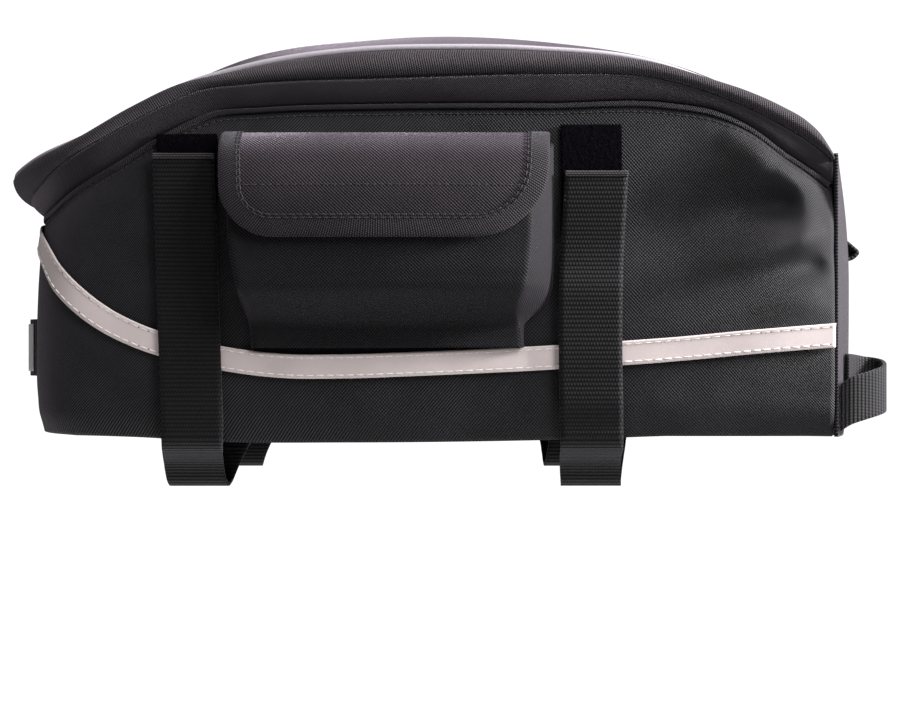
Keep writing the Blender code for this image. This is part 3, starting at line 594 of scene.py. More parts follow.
def ribbedWebbing(name, dark, light, rib=1.8, grain=1.25, acrossIsU=True):
    # webbing: raised ribs across it, each a row of short threads set off by half from the next
    made, shader, s = newMaterial(name, {
        "Sheen Weight": 0.10, "Sheen Roughness": 0.5, "Sheen Tint": (0.75, 0.68, 0.8, 1),
        "Specular IOR Level": 0.12})
    u, v = s.cloth()
    across, along = (u, v) if acrossIsU else (v, u)
    row = (along / rib).math("FLOOR")
    ribs = (along * (math.pi / rib)).sin().abs() ** 1.5
    step = (across * (2 * math.pi / grain) + row * math.pi).sin()
    height = ribs * 0.75 + step * 0.25 * ribs
    uneven = s.spread(55.0, 3.0)
    # the rib crowns are painted lighter: the ribs' own pattern with a painted highlight on their
    # tops
    tone = ((ribs ** 2.0) * 0.80 + step * 0.22 - 0.08 + (uneven - 0.5) * 0.5).clamp()
    plug(s, shader, "Base Color", s.blend(tone, dark, light))
    plug(s, shader, "Roughness", 0.82 - ribs * 0.14)
    plug(s, shader, "Normal", s.bump(height, 0.7, 0.0004))
    return made


def reflectiveTapeLook(name, dull, bright, pitch=4.0, rows=(1.35, 8.35)):
    # glass-bead tape: fine grain, soft blotches, and a dark needle hole at every stitch, which
    # fades from a distance of one radius to two; pitch and rows are in millimetres
    radius = 0.22
    made, shader, s = newMaterial(name, {"Specular IOR Level": 0.55})
    u, v = s.cloth()
    grain = s.spread(2600.0, 2.0)
    blotch = s.spread(26.0, 3.0)
    tone = ((grain - 0.5) * 0.5 + 0.5 + (blotch - 0.5) * 0.9).clamp()
    colour = s.blend(tone, dull, bright)
    hole = None
    for row in rows:
        along = ((u / pitch).math("FRACT") - 0.5) * pitch
        far = ((along * along) + (v - row) * (v - row)).math("SQRT")
        spot = 1 - ((far - radius) / radius).clamp()
        hole = spot if hole is None else hole.math("MAXIMUM", spot)
    if hole is not None:
        colour = s.blend(hole * 0.8, colour, (0.06, 0.05, 0.06))
    plug(s, shader, "Base Color", colour)
    plug(s, shader, "Roughness", 0.42 + (blotch - 0.5) * 0.3)
    plug(s, shader, "Normal", s.bump(grain, 0.25, 0.0001))
    return made


def plainLook(name, dark, light, scale, rough, bump=0.0003, spec=0.3, sheen=0.0):
    # one colour broken up by noise, with a grain
    made, shader, s = newMaterial(name, {"Specular IOR Level": spec, "Sheen Weight": sheen})
    grain = s.spread(scale, 3.0)
    plug(s, shader, "Base Color", s.blend(grain, dark, light))
    plug(s, shader, "Roughness", rough + (grain - 0.5) * 0.2)
    plug(s, shader, "Normal", s.bump(grain, 0.5, bump))
    return made


looks = {
    "body": nylonCloth(
        "bodyNylon", (0.0010, 0.0009, 0.0013), (0.040, 0.038, 0.042), slant=0.2, sheen=0.12),
    "front": nylonCloth("frontNylon", (0.002, 0.0018, 0.0022), (0.034, 0.031, 0.034), sheen=0.16),
    "crown": nylonCloth(
        "crownNylon", (0.0022, 0.0017, 0.0022), (0.024, 0.018, 0.023), 0.9, sheen=0.16,
        deep=0.00006, contrast=0.10),
    # pocket: the same nylon painted much darker than the body's, as painted shade where the strap
    # shades the gusset
    "pocket": nylonCloth(
        "pocketNylonPaintedShade", (0.0005, 0.0004, 0.0007), (0.0155, 0.0140, 0.0178), slant=0.1, sheen=0.08),
    "flap": nylonCloth(
        "flapNylon", (0.0006, 0.0004, 0.0008), (0.053, 0.042, 0.051), 0.70, -0.3, 0.28, 0.4),
    "base": nylonCloth(
        "baseNylon", (0.002, 0.002, 0.0025), (0.022, 0.021, 0.023), sheen=0.1, onObject=True),
    "zipTape": nylonCloth(
        "zipTapeTwill", (0.0020, 0.0017, 0.0024), (0.034, 0.028, 0.033), 0.42, 0.3, 0.3),
    # upper tape: its ribbed weave is its own, but its tone is painted light, made lighter than the
    # lower tape's because it faces up to the lamps
    "upperTape": ribbedWebbing(
        "upperTapeRibsPaintedLight", (0.0080, 0.0066, 0.0076), (0.056, 0.046, 0.052), 0.95, 0.7, False),
    "hem": nylonCloth("hemNylon", (0.0014, 0.0012, 0.0016), (0.032, 0.029, 0.033), 0.50, 0.1),
    "binding": ribbedWebbing(
        "bindingGrosgrain", (0.0006, 0.0005, 0.0008), (0.040, 0.034, 0.039), 1.0, 0.9, False),
    "webbing": ribbedWebbing(
        "strapWebbing", (0.0002, 0.0002, 0.0003), (0.0074, 0.0066, 0.0070)),
    # the fold's webbing is painted far lighter than the strap's, as a highlight along the lit top
    # of the fold
    "strapFoldPaintedHighlight": ribbedWebbing("strapFoldPaintedHighlight", (0.010, 0.0095, 0.009), (0.060, 0.056, 0.054), 0.9),
    "hoopWebbing": ribbedWebbing(
        "hoopWebbing", (0.0005, 0.0005, 0.0006), (0.0150, 0.0144, 0.0138), acrossIsU=False),
    "tape": reflectiveTapeLook("reflectiveTape", (0.34, 0.292, 0.287), (0.61, 0.530, 0.522)),
    "lightTape": reflectiveTapeLook(
        "lightLoopFace", (0.30, 0.285, 0.275), (0.50, 0.48, 0.46), rows=()),
    "piping": plainLook(
        "reflectivePiping", (0.22, 0.20, 0.23), (0.36, 0.33, 0.36), 900.0, 0.45, 0.00005, 0.4),
    "whiteThread": plainLook(
        "whiteThread", (0.58, 0.52, 0.52), (0.86, 0.80, 0.79), 3000.0, 0.6, 0.00005),
    "blackThread": plainLook(
        "blackThread", (0.004, 0.0035, 0.005), (0.028, 0.025, 0.029), 3000.0, 0.6, 0.00005),
    "teeth": plainLook(
        "zipTeeth", (0.0030, 0.0028, 0.0034), (0.050, 0.046, 0.050), 1200.0, 0.45, 0.00005, 0.35),
    "metal": plainLook(
        "sliderPaint", (0.010, 0.010, 0.011), (0.035, 0.035, 0.037), 700.0, 0.35, 0.00005, 0.6),
    "pile": plainLook(
        "loopPile", (0.0002, 0.0002, 0.0003), (0.0055, 0.0045, 0.0066), 1100.0, 0.95, 0.0014, 0.0),
}
print("materials made:", len(looks))

bodyLook = {"around": 420, "up": 84}
q = np.linspace(0, 2, bodyLook["around"])[None, :]
v = np.linspace(0, 1, bodyLook["up"])[:, None]
wall = wallPoint(q + 0 * v, v + 0 * q)
addSheet("bodyWrapCloth", wall, bag["cloth"], 1, "body",
         ("side_panel_right", "side_panel_left", "rear_panel"), held="stretched")


def wallLine(qs, zs, lift):
    # line on the wall and its outward normals
    v = wallShare(qs, zs)
    nx, ny = planNormal(qs)
    return wallPoint(qs, v, lift), together(nx, ny, 0 * nx)


# turned hem along the top of the wall, two layers thick, with its row of stitches below
hem = {
    "height": 0.0021, "thick": 0.0012, "points": 700, "ends": 0.004, "stitchDown": 0.0042,
    "pitch": 0.0030, "stitch": 0.0023, "thread": 0.00024,
}
qs = np.linspace(hem["ends"], 2 - hem["ends"], hem["points"])
hemZ = hemHeight(placeAt(planAt(qs, halfWidth, rearX)[0]))
line, normal = wallLine(qs, hemZ - hem["height"] / 2, hem["thick"] / 2)
across = unit(np.cross(normal, np.gradient(line, axis=0)))
section = flatSection(hem["height"], hem["thick"], 3)
addBand("hemFold", line, normal, across, section, "hem")
stitchLine, stitchNormal = wallLine(qs, hemZ - hem["stitchDown"], 0.0001)
print("body made")

y = halfWidth * np.sin(np.linspace(-math.pi / 2, math.pi / 2, frontPanel["across"]))[None, :]
v = np.linspace(0, 1, frontPanel["up"])[:, None]
sideTop = hemHeight(0.0) + lid["bandWidth"] * profile[0, 3]
inside = 1 - (y / halfWidth) ** 2
topZ = sideTop + frontPanel["topRise"] * inside
panelX = frontPanelX(y, v + 0 * y) + waves(y, v * 0.12, 8, 0.014) * 0.0004 * inside
panel = together(panelX, y, v * topZ)
addSheet("frontPanelCloth", panel, bag["cloth"], 1, "front", ("front_panel",),
         held="stretched")


def railAt(q, half, rear, height, roundness=1.0):
    # line round the lid: the plan U with a height that follows the place along the bag
    length = bag["rearRound"] + (lid["round"] - bag["rearRound"]) * roundness
    power = bag["rearPower"] + (lid["power"] - bag["rearPower"]) * roundness
    x, y = planAt(q, half, rear, length, power)
    return together(x, y, height((frontX - x) / (frontX - rear)))


def bandHeight(column):
    return lambda place: hemHeight(place) + lid["bandWidth"] * readTable(profile, column, place)


def pipingHeight(place):
    return bandHeight(3)(place) + lid["pipingDiameter"] * readTable(profile, 4, place)


def hemRail(q):
    inset = bag["bulge"] * wallSection[-1, 1] - 0.0006
    height = lambda place: hemHeight(place) + bag["gap"]
    return railAt(q, halfWidth + inset, rearX - inset, height, 0.0)


def zipRail(q):
    overhang = lid["zipOverhang"]
    return railAt(q, halfWidth - bag["gap"], rearX - overhang, bandHeight(2),
                  overhang / lid["edgeOverhang"])


def edgeRail(q):
    return railAt(q, halfWidth, rearX - lid["edgeOverhang"], bandHeight(3))


def pipingRail(q):
    rear = rearX - lid["edgeOverhang"] + lid["pipingInset"] * 0.4
    return railAt(q, halfWidth - lid["pipingInset"], rear, pipingHeight)


def ruled(first, second, shares, puff):
    # band between two lines, puffed out by 4 s (1 - s) across it
    s = shares[:, None, None]
    flat = first[None] * (1 - s) + second[None] * s
    out = unit(np.cross(second - first, np.gradient(first, axis=0)))
    return flat + out[None] * (4 * s * (1 - s) * puff)


# the two tapes meet in narrow lips over the teeth; size of a tooth as for the spindles
zipLook = {
    "points": 640, "rows": 10, "cloth": 0.001, "lip": 0.00026, "tapePuff": 0.0007,
    "upperPuff": 0.0016, "tuck": 0.0016, "tuckPuff": 0.0002, "pitch": 0.00115, "ends": 0.003,
    "apart": 0.0006, "recess": 0.0008, "tooth": (0.0011, 0.00036, 0.0007),
}
qs = np.linspace(0, 2, zipLook["points"])
hemLine, zipLine, edgeLine, pipingLine = hemRail(qs), zipRail(qs), edgeRail(qs), pipingRail(qs)
shares = np.linspace(0, 1, zipLook["rows"])
lowerLip = zipLine + unit(hemLine - zipLine) * zipLook["lip"]
upperLip = zipLine + unit(edgeLine - zipLine) * zipLook["lip"]
lower = ruled(hemLine, lowerLip, shares, zipLook["tapePuff"])
addSheet("zipTapeLowerCloth", lower, zipLook["cloth"], 1, "zipTape",
         ("zip_tape_lower",))
# the upper tape and the strip turned over to the piping take the upper tape's look, painted lighter
# as light on the up-facing tape
upper = ruled(upperLip, edgeLine, shares, zipLook["upperPuff"])
tucked = pipingLine + unit(edgeLine - pipingLine) * zipLook["tuck"]
over = ruled(edgeLine, tucked, np.linspace(0.2, 1, 5), zipLook["tuckPuff"])
addSheet("zipTapeUpperCloth", np.concatenate((upper, over)), zipLook["cloth"], 1,
         "upperTape", ("zip_tape_upper",))

way = unit(np.gradient(zipLine, axis=0))
out = unit(np.cross(edgeLine - hemLine, way))
acrossZip = unit(np.cross(way, out))
run = lengthAlong(zipLine)
at = np.arange(zipLook["ends"], run[-1] - zipLook["ends"], zipLook["pitch"])
teeth = []
for hand, shift in ((1, 0.0), (-1, 0.5)):
    s = at + shift * zipLook["pitch"]
    across, ahead, up = (unit(pick(rows, run, s)) for rows in (acrossZip, way, out))
    place = pick(zipLine, run, s) + across * hand * zipLook["apart"] - up * zipLook["recess"]
    teeth.append((place, across, ahead, up, zipLook["tooth"]))
addSpindles("zipCoilTeeth", teeth, "teeth", ("zip_coil",))

# light piping round the lid
a = np.linspace(0, 2 * math.pi, 12, endpoint=False)
ring = together(np.cos(a), np.sin(a)) * lid["pipingDiameter"] / 2
way = unit(np.gradient(pipingLine, axis=0))
across = unit(np.cross(way, np.array([0.0, 0.0, 1.0])))
addBand("lidPipingTrim", pipingLine, unit(np.cross(across, way)), across, ring, "piping",
        ("lid_piping",))


def crownHeight(x):
    front = frontPanelX(0.0, 1.0)
    place = (front - x) / (front - rearX + lid["edgeOverhang"])
    return hemHeight(place) + lid["rise"] * readTable(profile, 5, place)


def crownGrid(rows, cols):
    # dome: from the piping to the ridge the height is ridge - drop (1 - s)^2, the rows fan to the
    # ridge, and two more rows turn the front edge down behind the front panel
    qs = np.linspace(0, 1, rows)
    start = pipingRail(qs)
    way = unit(np.gradient(start[:, :2], axis=0))
    inwards = lid["pipingDiameter"] / 2 + 2 * bag["gap"]
    start[:, 0] += inwards * way[:, 1]
    start[:, 1] -= inwards * way[:, 0]
    start[-1, 1] = 0
    ridgeFront = frontPanelX(0.0, 1.0) - lid["cloth"]
    ridgeRear = rearX - lid["edgeOverhang"] + lid["ridgeStart"]
    span = ((start[0, 0] - start[:, 0]) / (start[0, 0] - start[-1, 0]))[:, None]
    ridgeX = ridgeFront + (ridgeRear - ridgeFront) * span
    sx, sy, sz = start[:, 0:1], start[:, 1:2], start[:, 2:3]
    drop = crownHeight(sx) - sz
    t = np.linspace(-1, 1, cols)[None, :]
    share = 1 - np.abs(t)
    bow = 1 - (1 - share) ** frontPanel["power"]
    x = sx + (ridgeX - sx) * (bow * (1 - span) + share * span)
    y = np.where(t < 0, 1, -1) * sy * (1 - share)
    z = crownHeight(x) - drop * (1 - share) ** 2
    soft = share * np.clip(span * 12, 0, 1)
    z = z + waves(x, y, 12, 0.016) * 0.0005 * soft
    grid = together(x, y, z)
    turned = [grid[:1] - np.array(step) for step in lid["frontTurn"]]
    return np.concatenate((*turned, grid))


addSheet("lidCrownCloth", crownGrid(200, 141), lid["cloth"], -1, "crown",
         ("lid_crown",), held="stretched")
print("lid and zip made")

tape = {
    "width": 0.0097, "thick": 0.0008, "rim": 0.0009, "rimRise": 0.0003, "lift": 0.0006,
    "points": 600, "pitch": 0.004, "rowInset": 0.00135, "stitch": 0.0031, "thread": 0.00026,
}
# height of its middle along the bag, as a share of the hem's
tapeLine = np.array([
    (0.00, 0.304), (0.10, 0.284), (0.20, 0.261), (0.30, 0.244), (0.40, 0.230), (0.50, 0.219),
    (0.60, 0.211), (0.66, 0.212), (0.72, 0.228), (0.78, 0.258), (0.84, 0.304), (0.88, 0.354),
    (0.91, 0.407), (0.94, 0.476), (0.97, 0.568), (1.00, 0.635),
])
qs = np.linspace(0, 2, tape["points"])
x0, y0 = planAt(qs, halfWidth, rearX)
middle = bag["hemHeight"] * readTable(tapeLine, 1, placeAt(x0))
run = summed(np.hypot(np.diff(x0), np.diff(y0)))
slope = np.sqrt(1 + np.gradient(middle, run) ** 2)


def tapeAt(share, lift):
    return wallLine(qs, middle + (share - 0.5) * tape["width"] * slope, lift)


across = np.linspace(0, 1, 13)
rim = tape["rim"] / tape["width"]
lifts = tape["lift"] + tape["rimRise"] * np.clip((across - 1 + 2 * rim) / rim, 0, 1)
grid = np.array([tapeAt(share, lift)[0] for share, lift in zip(across, lifts)])
addSheet("reflectiveTapeStrip", grid, tape["thick"], -1, "tape",
         ("reflective_tape",), together(run[None, :], across[:, None] * tape["width"]))
rows = []
rowShare = tape["rowInset"] / tape["width"]
for share in (rowShare, 1 - rowShare):
    line, normal = tapeAt(share, tape["lift"] + tape["thick"] + 0.00005)
    rows.append(stitchesOn(line, normal, tape["pitch"], tape["stitch"], tape["thread"], start=1.0))
addSpindles("tapeStitches", rows, "whiteThread")
rows = [stitchesOn(stitchLine, stitchNormal, hem["pitch"], hem["stitch"], hem["thread"])]
addSpindles("hemStitches", rows, "blackThread")

pocket = {
    "width": 0.130, "depth": 0.023, "bottom": 0.0360, "top": 0.108, "gussetRise": 0.0105,
    "cloth": 0.0014, "middle": rearX + 0.4608 * bag["length"], "corner": 0.10, "puff": 0.06,
}
# height share, depth share, then the corners as shares of half the width, from the rear
pocketSection = np.array([
    (0.00, 0.07, -0.85, -0.84, 0.80, 0.815),
    (0.08, 0.08, -0.86, -0.845, 0.79, 0.815),
    (0.14, 0.13, -0.87, -0.85, 0.78, 0.825),
    (0.19, 0.30, -0.89, -0.86, 0.765, 0.885),
    (0.25, 0.60, -0.92, -0.87, 0.770, 0.955),
    (0.31, 0.83, -0.94, -0.90, 0.795, 0.985),
    (0.40, 0.92, -0.96, -0.92, 0.82, 0.995),
    (0.52, 0.96, -0.98, -0.945, 0.835, 1.00),
    (0.69, 1.00, -1.00, -0.955, 0.845, 1.00),
    (0.85, 0.96, -1.00, -0.950, 0.850, 1.00),
    (1.00, 0.90, -1.00, -0.945, 0.855, 1.00),
])


def pocketGrid(rows, cols):
    # wall round three sides: k runs 0 to 1 over the rear gusset, 1 to 2 over the front, 2 to 3 over
    # the other gusset; each height has its own depth and corners
    h = np.linspace(0, 1, rows)[:, None]
    k = np.linspace(0, 3, cols)[None, :]
    corner = [readTable(pocketSection, c, h) for c in (2, 3, 4, 5)]
    shares = (corner[0] + (corner[1] - corner[0]) * np.clip(k, 0, 1)
              + (corner[2] - corner[1]) * np.clip(k - 1, 0, 1)
              + (corner[3] - corner[2]) * np.clip(k - 2, 0, 1))
    near = np.minimum(k, 3 - k)
    away = np.clip(near, 0, 1)
    rounded = away - pocket["corner"] * np.exp(-(((near - 1) / 0.09) ** 2)) * 0.35
    depth = readTable(pocketSection, 1, h)
    rise = pocket["gussetRise"] * h**4 * (1 - away)
    z = pocket["bottom"] + h * (pocket["top"] - pocket["bottom"]) + rise
    x = pocket["middle"] + pocket["width"] / 2 * shares
    puff = pocket["puff"] * np.sin(math.pi * np.clip(k - 1, 0, 1))
    out = pocket["depth"] * depth * (rounded + puff)
    folded = waves(x, z, 21, 0.012) * 0.0006 * away * np.clip(depth * 2, 0, 1)
    overTape = 0.0011 * np.clip((0.25 - h) / 0.12, 0, 1)
    y = -(wallHalf(x, z) + bag["gap"] + pocket["cloth"] / 2 + overTape + out + folded)
    return together(x, y, z)


flap = {
    "width": 0.1325, "shift": 0.002, "taper": 0.0035, "top": 0.122, "height": 0.0432,
    "reach": 0.028, "run": 0.060, "rearCorner": 0.020, "frontCorner": 0.028, "cloth": 0.0015,
    "droop": 0.10, "binding": 0.0090, "bindingThick": 0.0024, "seamInsets": (0.0016, 0.0003),
    "seamThread": 0.00024, "rowAt": 0.0393, "rowThread": 0.00022, "pitch": 0.0031, "stitch": 0.0024,
}
# run along the cloth, reach away from the side and drop, as shares
flapSection = np.array([
    (0.00, 0.04, 0.00), (0.13, 0.29, 0.02), (0.27, 0.59, 0.09), (0.41, 0.83, 0.22),
    (0.54, 0.94, 0.38), (0.68, 1.00, 0.57), (0.84, 1.00, 0.78), (1.00, 0.97, 1.00),
])


def flapPoint(x, run):
    # flap's cloth: x from its middle, run from the sewn edge, over the top of the pocket and down
    share = run / flap["run"]
    side = np.abs(x) / (flap["width"] / 2)
    place = x + pocket["middle"] - flap["shift"]
    z = flap["top"] - flap["height"] * readTable(flapSection, 2, share)
    reach = flap["reach"] * readTable(flapSection, 1, share) * (1 - flap["droop"] * side**4)
    reach = reach + waves(place, run, 31, 0.014) * 0.0007 * np.clip(share * 2, 0, 1)
    y = -(wallHalf(place, z) + bag["gap"] + reach)
    return together(place, y, z)


def flapNormal(x, run):
    # outward normal from small steps both ways
    step = 0.0004
    a = flapPoint(x + step, run) - flapPoint(x - step, run)
    b = flapPoint(x, run + step) - flapPoint(x, run - step)
    return unit(np.cross(b, a))


def flapHalf(run, inset, corner):
    # half width of the pattern, less its rounded lower corner: r - sqrt(r^2 - cut^2)
    radius = corner - inset
    cut = np.clip(radius - (flap["run"] - inset - run), 0, radius)
    half = flap["width"] / 2 - flap["taper"] * run / flap["run"] - inset
    return half - (radius - np.sqrt(radius**2 - cut**2))


def flapGrid(rows, cols):
    # the cloth inside the binding, with closer rows round its lower corners
    inset = flap["binding"] * 0.9
    radius = flap["frontCorner"] - inset
    a = np.linspace(0, math.pi / 2, rows // 3)[1:]
    low = flap["run"] - inset
    straight = np.linspace(0, low - radius, rows - len(a))
    runs = np.concatenate((straight, low - radius + radius * np.sin(a)))[::-1][:, None]
    rear = -flapHalf(runs, inset, flap["rearCorner"])
    front = flapHalf(runs, inset, flap["frontCorner"])
    x = rear + (front - rear) * np.linspace(0, 1, cols)[None, :]
    return flapPoint(x, runs + 0 * x), together(x, runs)


def bindingLine(inset, count):
    # edge of the flap's pattern at an inset: down one side, round the corners, up the other
    low = flap["run"] - inset
    sides = []
    for corner in (flap["rearCorner"], flap["frontCorner"]):
        radius = corner - inset
        a = np.linspace(0, math.pi / 2, 60)[1:]
        runs = np.concatenate((np.linspace(0, low - radius, 40), low - radius + radius * np.sin(a)))
        sides.append((runs, flapHalf(runs, inset, corner)))
    (rearRuns, rearHalf), (frontRuns, frontHalf) = sides
    down, up = together(-rearHalf, rearRuns), together(frontHalf, frontRuns)[::-1]
    flat = np.concatenate((down, up))
    run = lengthAlong(flat)
    return pick(flat, run, np.linspace(0, run[-1], count)).T


def onFlap(x, run, lift):
    normal = flapNormal(x, run)
    return flapPoint(x, run) + normal * lift, normal


def bindingGrid(count, cols):
    # rounded flat section folded round the edge: the inset runs out and back, the lift goes over
    a = np.linspace(0, 2 * math.pi, cols, endpoint=False)
    inset = flap["binding"] * (0.5 - 0.5 * np.sign(np.cos(a)) * np.abs(np.cos(a)) ** 0.35)
    lift = flap["bindingThick"] / 2 * np.sign(np.sin(a)) * np.abs(np.sin(a)) ** 0.6
    columns = [onFlap(*bindingLine(edge, count), up)[0] for edge, up in zip(inset, lift)]
    return np.stack(columns, 1), inset


for sideName, side in bothSides:
    title = sideName.capitalize()
    # pocket in its darker nylon, which carries painted shade
    addSheet("pocketCloth" + title, facing(pocketGrid(90, 170), side), pocket["cloth"], 0,
             "pocket", ("pocket_" + sideName,), held="folded")
    grid, uv = flapGrid(60, 110)
    addSheet("flapCloth" + title, facing(grid, side), flap["cloth"], 0, "flap",
             ("flap_" + sideName,), uv if side is seenSide else uv[::-1], "folded")
    band, inset = bindingGrid(320, 20)
    addTube("flapBinding" + title, band * side, together(lengthAlong(band[:, 0])[:, None], inset),
            "binding", ("flap_binding_" + sideName,))
    # two rows along the binding and one across the cloth
    rowX = np.linspace(-0.48, 0.48, 300) * (flap["width"] - 2 * flap["binding"])
    rows = [(*bindingLine(flap["binding"] - inset, 300), flap["bindingThick"], flap["seamThread"])
            for inset in flap["seamInsets"]]
    rows.append((rowX, np.full(300, flap["rowAt"]), flap["cloth"], flap["rowThread"]))
    seams = []
    for x, run, thick, thread in rows:
        line, normal = onFlap(x, run, thick / 2)
        seams.append(stitchesOn(line * side, normal * side, flap["pitch"], flap["stitch"], thread))
    addSpindles("flapStitches" + title, seams, "blackThread")
print("pockets and flaps made")

strap = {
    "width": 0.0254, "thick": 0.0018, "points": 260, "low": 0.004, "railInset": 0.036,
    "drop": 0.0212, "tab": 0.018, "foldHeight": 0.0024, "foldThick": 0.0026, "patchWidth": 0.0245,
    "patchThick": 0.0012, "pile": 0.00035,
}
# name, place, patch's shift, width share, top, patch low, patch top, then leans of the middle, the
# wall's lower edge, the lower end and the inner leg, as shares of the width
straps = (
    ("rear", 0.209, 0.0012, 0.97, 0.841, 0.70, 0.907, 0.09, 0.14, 0.075, 0.78),
    ("front", 0.710, -0.0018, 1.0, 0.788, 0.62, 0.935, -0.10, -0.07, 0.02, 0.25),
)
# under the bag: way in as a share of the rail's inset, and drop as a share of the lowest
strapHang = np.array([
    (0.010, 0.00), (0.085, 0.17), (0.220, 0.29), (0.380, 0.40), (0.530, 0.53), (0.640, 0.72),
    (0.715, 0.90), (0.810, 1.00), (0.915, 0.93), (0.975, 0.71), (0.995, 0.43), (1.010, 0.21),
])


def strapPath(middle, top, leans):
    # in the plane across the bag: down the side, in under the rail's place, up to the base
    down = np.linspace(top * bag["hemHeight"], strap["low"], 12)
    standoff = strap["patchThick"] + 2 * bag["gap"] + strap["thick"] / 2
    widest = np.max([wallHalf(middle + s * strap["width"], down) for s in (-0.5, 0, 0.5)], axis=0)
    out = widest + standoff
    sidePart = [(-y, z) for y, z in zip(out, down)]
    hang = [(-out[-1] + a * strap["railInset"], -d * strap["drop"]) for a, d in strapHang]
    inner = -out[-1] + strap["railInset"]
    tabZ = -strap["thick"] / 2 - bag["gap"]
    tab = [(inner + strap["tab"] * s, tabZ) for s in (0.25, 0.6, 1.0)]
    path = alongLine(sidePart + hang + tab, strap["points"])
    low, edge = int(np.argmin(path[:, 1])), int(np.argmax(path[:, 1] < strap["low"]))
    keys = (0, edge * 0.55, edge, low, len(path) - 1)
    leanTable = np.stack((keys, (0.0, *leans)), 1)
    return path, strap["width"] * readTable(leanTable, 1, np.arange(len(path)))


for sideName, side in bothSides:
    for end, place, patchShift, share, top, patchLow, patchTop, *leans in straps:
        title = end.capitalize() + sideName.capitalize()
        middle = rearX + place * bag["length"]
        path, shift = strapPath(middle, top, leans)
        t = np.linspace(-0.5, 0.5, 13)[None, :]
        x = middle + shift[:, None] + t * strap["width"] * share
        grid = together(x, path[:, :1], path[:, 1:])
        addSheet("strap" + title, facing(grid, side), strap["thick"], 0, "webbing",
                 (f"strap_{end}_{sideName}",))
        # folded over at its upper end, in a much lighter copy of the webbing: a painted highlight
        # along the fold's top
        edge = grid[0] + np.array([0, -strap["thick"] * 0.1, -0.0004])
        s = np.linspace(0, 1, 40)[:, None]
        bar = edge[0] * (1 - s) + edge[-1] * s
        up, outward = np.tile((0.0, 0.0, 1.0), (40, 1)), np.tile((0.0, -1.0, 0.0), (40, 1))
        section = flatSection(strap["foldHeight"], strap["foldThick"], 3)
        addBand("strapFoldPaintedHighlight" + title, bar * side, outward * side, up, section, "strapFoldPaintedHighlight")
        # patch of loops, with an uneven face
        px = middle + patchShift + strap["patchWidth"] * np.linspace(-0.5, 0.5, 40)[None, :]
        pz = np.linspace(patchLow, patchTop, 60)[:, None] * bag["hemHeight"]
        pile = np.random.default_rng(41).uniform(0.0, strap["pile"], (60, 40))
        y = -(wallHalf(px, pz) + bag["gap"] + strap["patchThick"] + pile)
        patch = together(px, y, pz)
        addSheet("loopPatch" + title, facing(patch, side), strap["patchThick"], -1, "pile",
                 (f"loop_patch_{end}_{sideName}",))
print("straps made")

# front straps: way forward as a share of the reach, way inward as a share of half the bag's width,
# and height as a share of the webbing's width
frontStrap = {"width": 0.0190, "reach": 0.0222, "points": 120}
frontStrapPath = np.array([
    (0.06, 0.000, 0.62), (0.24, -0.004, 0.76), (0.50, 0.014, 0.86), (0.76, 0.050, 0.94),
    (0.93, 0.092, 1.00), (1.00, 0.140, 1.07), (0.97, 0.185, 1.15), (0.85, 0.210, 1.19),
    (0.68, 0.207, 1.21), (0.52, 0.180, 1.24), (0.38, 0.140, 1.26), (0.27, 0.098, 1.27),
])
px = frontX + bag["cloth"] + frontStrapPath[:, 0] * frontStrap["reach"]
py = -halfWidth + frontStrapPath[:, 1] * halfWidth
pz = frontStrapPath[:, 2] * frontStrap["width"]
path = alongLine(together(px, py, pz), frontStrap["points"])
upright = np.linspace(-0.5, 0.5, 13)[:, None, None] * np.array([0, 0, 1.0])
for sideName, side in bothSides:
    grid = facing(path[None] + upright * frontStrap["width"], side)
    addSheet("frontStrap" + sideName.capitalize(), grid, strap["thick"], 0, "hoopWebbing",
             ("front_strap_" + sideName,))

# light loop across the rear and its light face: way along half its length, share of the reach
lightLoop = {
    "width": 0.0254, "reach": 0.0102, "height": 0.0364, "half": 0.034, "points": 140,
    "tape": 0.0212, "tapeThick": 0.0005, "tapeEnds": 38,
}
lightPath = np.array([
    (-1.00, 0.0), (-0.80, 0.0), (-0.62, 0.12), (-0.42, 0.62), (-0.20, 0.93), (0.00, 1.0),
    (0.20, 0.93), (0.42, 0.62), (0.62, 0.12), (0.80, 0.0), (1.00, 0.0),
])


def rearWallX(y, z):
    # rear of the wall off its middle: |y/w|^p + |x/l|^p = 1, as in plan
    outset = bag["bulge"] * readTable(wallSection, 1, wallShare(np.array(1.0), z))
    share = np.abs(y) / (halfWidth + outset)
    power = bag["rearPower"]
    return rearX - outset + bag["rearRound"] * (1 - (1 - share**power) ** (1 / power))


ly = lightPath[:, 0] * lightLoop["half"]
lx = (rearWallX(ly, lightLoop["height"]) - bag["gap"] - strap["thick"] / 2
      - lightPath[:, 1] * lightLoop["reach"])
path = alongLine(together(lx, ly, 0 * ly + lightLoop["height"]), lightLoop["points"])
addSheet("lightLoopWebbing", path[None] + upright * lightLoop["width"], strap["thick"], 0,
         "hoopWebbing", ("light_loop",))
way = np.gradient(path[:, :2], axis=0)
outward = unit(together(-way[:, 1], way[:, 0], 0 * way[:, 0]))
face = path + outward * (strap["thick"] / 2 + bag["gap"])
face = face[lightLoop["tapeEnds"]:-lightLoop["tapeEnds"]]
addSheet("lightLoopFace", face[None] + upright * lightLoop["tape"], lightLoop["tapeThick"], -1,
         "lightTape", ("light_loop_tape",))

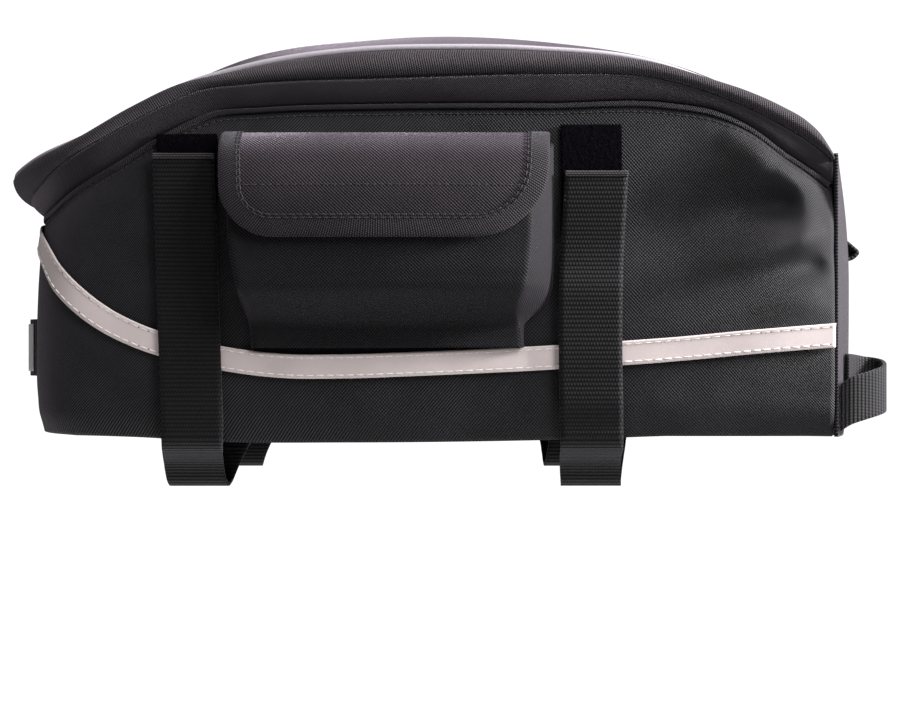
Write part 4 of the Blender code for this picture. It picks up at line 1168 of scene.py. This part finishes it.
# small loop on the front panel: ways forward and up as shares of the reach
frontLoop = {"width": 0.020, "reach": 0.0090, "height": 0.0797, "thick": 0.0016, "points": 90}
loopPath = np.array([
    (0.00, 1.40), (0.00, 1.00), (0.30, 0.66), (0.78, 0.22), (1.00, -0.04), (0.80, -0.26),
    (0.30, -0.46), (0.00, -0.66), (0.00, -1.05),
])
panelTop = sideTop + frontPanel["topRise"]
lz = frontLoop["height"] + loopPath[:, 1] * frontLoop["reach"]
lx = frontPanelX(0.0, lz / panelTop, bag["cloth"] + bag["gap"] + frontLoop["thick"] / 2)
lx = lx + loopPath[:, 0] * frontLoop["reach"]
path = alongLine(together(lx, lz), frontLoop["points"])
t = np.linspace(0.5, -0.5, 11)[:, None]
grid = together(path[None, :, 0], t * frontLoop["width"], path[None, :, 1])
addSheet("frontLoopWebbing", grid, frontLoop["thick"], 0, "hoopWebbing",
         ("front_loop",))

# pieces whose CAD shape is right keep it and get their cloth or paint
for name, look in (("base_panel", "base"), ("zip_slider", "metal")):
    nodes[name].data.materials.clear()
    nodes[name].data.materials.append(looks[look])
print("loops made")

studio = {
    "floorZ": -0.9, "floorSize": 2.6, "ambient": 0.19, "backdrop": 1.1,
    "eye": (0.0108, -0.729, 0.0339), "lens": 63.5, "sensor": 36, "nearest": 0.02,
}
# name, kind, place, aim, size or angle, power
lamps = (
    ("overhead", "SUN", (0.1, -0.15, 1.0), (0, 0, 0), math.radians(55), 3.0),
    ("key", "AREA", (0.78, -0.86, 0.86), (0.05, -0.05, 0.08), 0.50, 16.5),
    ("side", "AREA", (0.95, -0.19, 0.40), (0.12, -0.08, 0.07), 0.22, 42),
)
bpy.context.scene.view_settings.view_transform = "Standard"
camera = bpy.data.objects.new("camera", bpy.data.cameras.new("camera"))
bpy.context.scene.collection.objects.link(camera)
camera.location = studio["eye"]
camera.rotation_euler = (math.pi / 2, 0, 0)
camera.data.lens = studio["lens"]
camera.data.sensor_width = studio["sensor"]
camera.data.clip_start = studio["nearest"]
bpy.context.scene.camera = camera

corners = np.array([[(-1, -1, 0), (1, -1, 0)], [(-1, 1, 0), (1, 1, 0)]]) * studio["floorSize"] / 2
floorMesh = gridMesh("floor", corners + np.array([0, 0, studio["floorZ"]]))
floor = bpy.data.objects.new("floor", floorMesh)
bpy.context.scene.collection.objects.link(floor)
floorLook, floorShader, s = newMaterial("paleFloor", {"Roughness": 0.9, "Specular IOR Level": 0.1})
plug(s, floorShader, "Base Color", s.blend(s.spread(3.0), (0.88, 0.88, 0.88), (0.92, 0.92, 0.92)))
floorMesh.materials.append(floorLook)

# soft white surroundings, brighter to the eye than the light they give
world = bpy.data.worlds.new("studio")
bpy.context.scene.world = world
world.use_nodes = True
seen = Shade(world.node_tree).node("ShaderNodeLightPath", {}, {}, "Is Camera Ray")
strength = seen * (studio["backdrop"] - studio["ambient"]) + studio["ambient"]
background = world.node_tree.nodes["Background"]
background.inputs["Color"].default_value = (1, 1, 1, 1)
world.node_tree.links.new(strength.socket, background.inputs["Strength"])


def addLamp(name, kind, place, aim, size, power):
    lamp = bpy.data.lights.new(name, kind)
    lamp.energy = power
    if kind == "SUN":
        lamp.angle = size
    else:
        lamp.size = size
    obj = bpy.data.objects.new(name, lamp)
    bpy.context.scene.collection.objects.link(obj)
    obj.location = place
    obj.rotation_euler = (Vector(aim) - Vector(place)).to_track_quat("-Z", "Y").to_euler()


for lamp in lamps:
    addLamp(*lamp)
print("studio made")
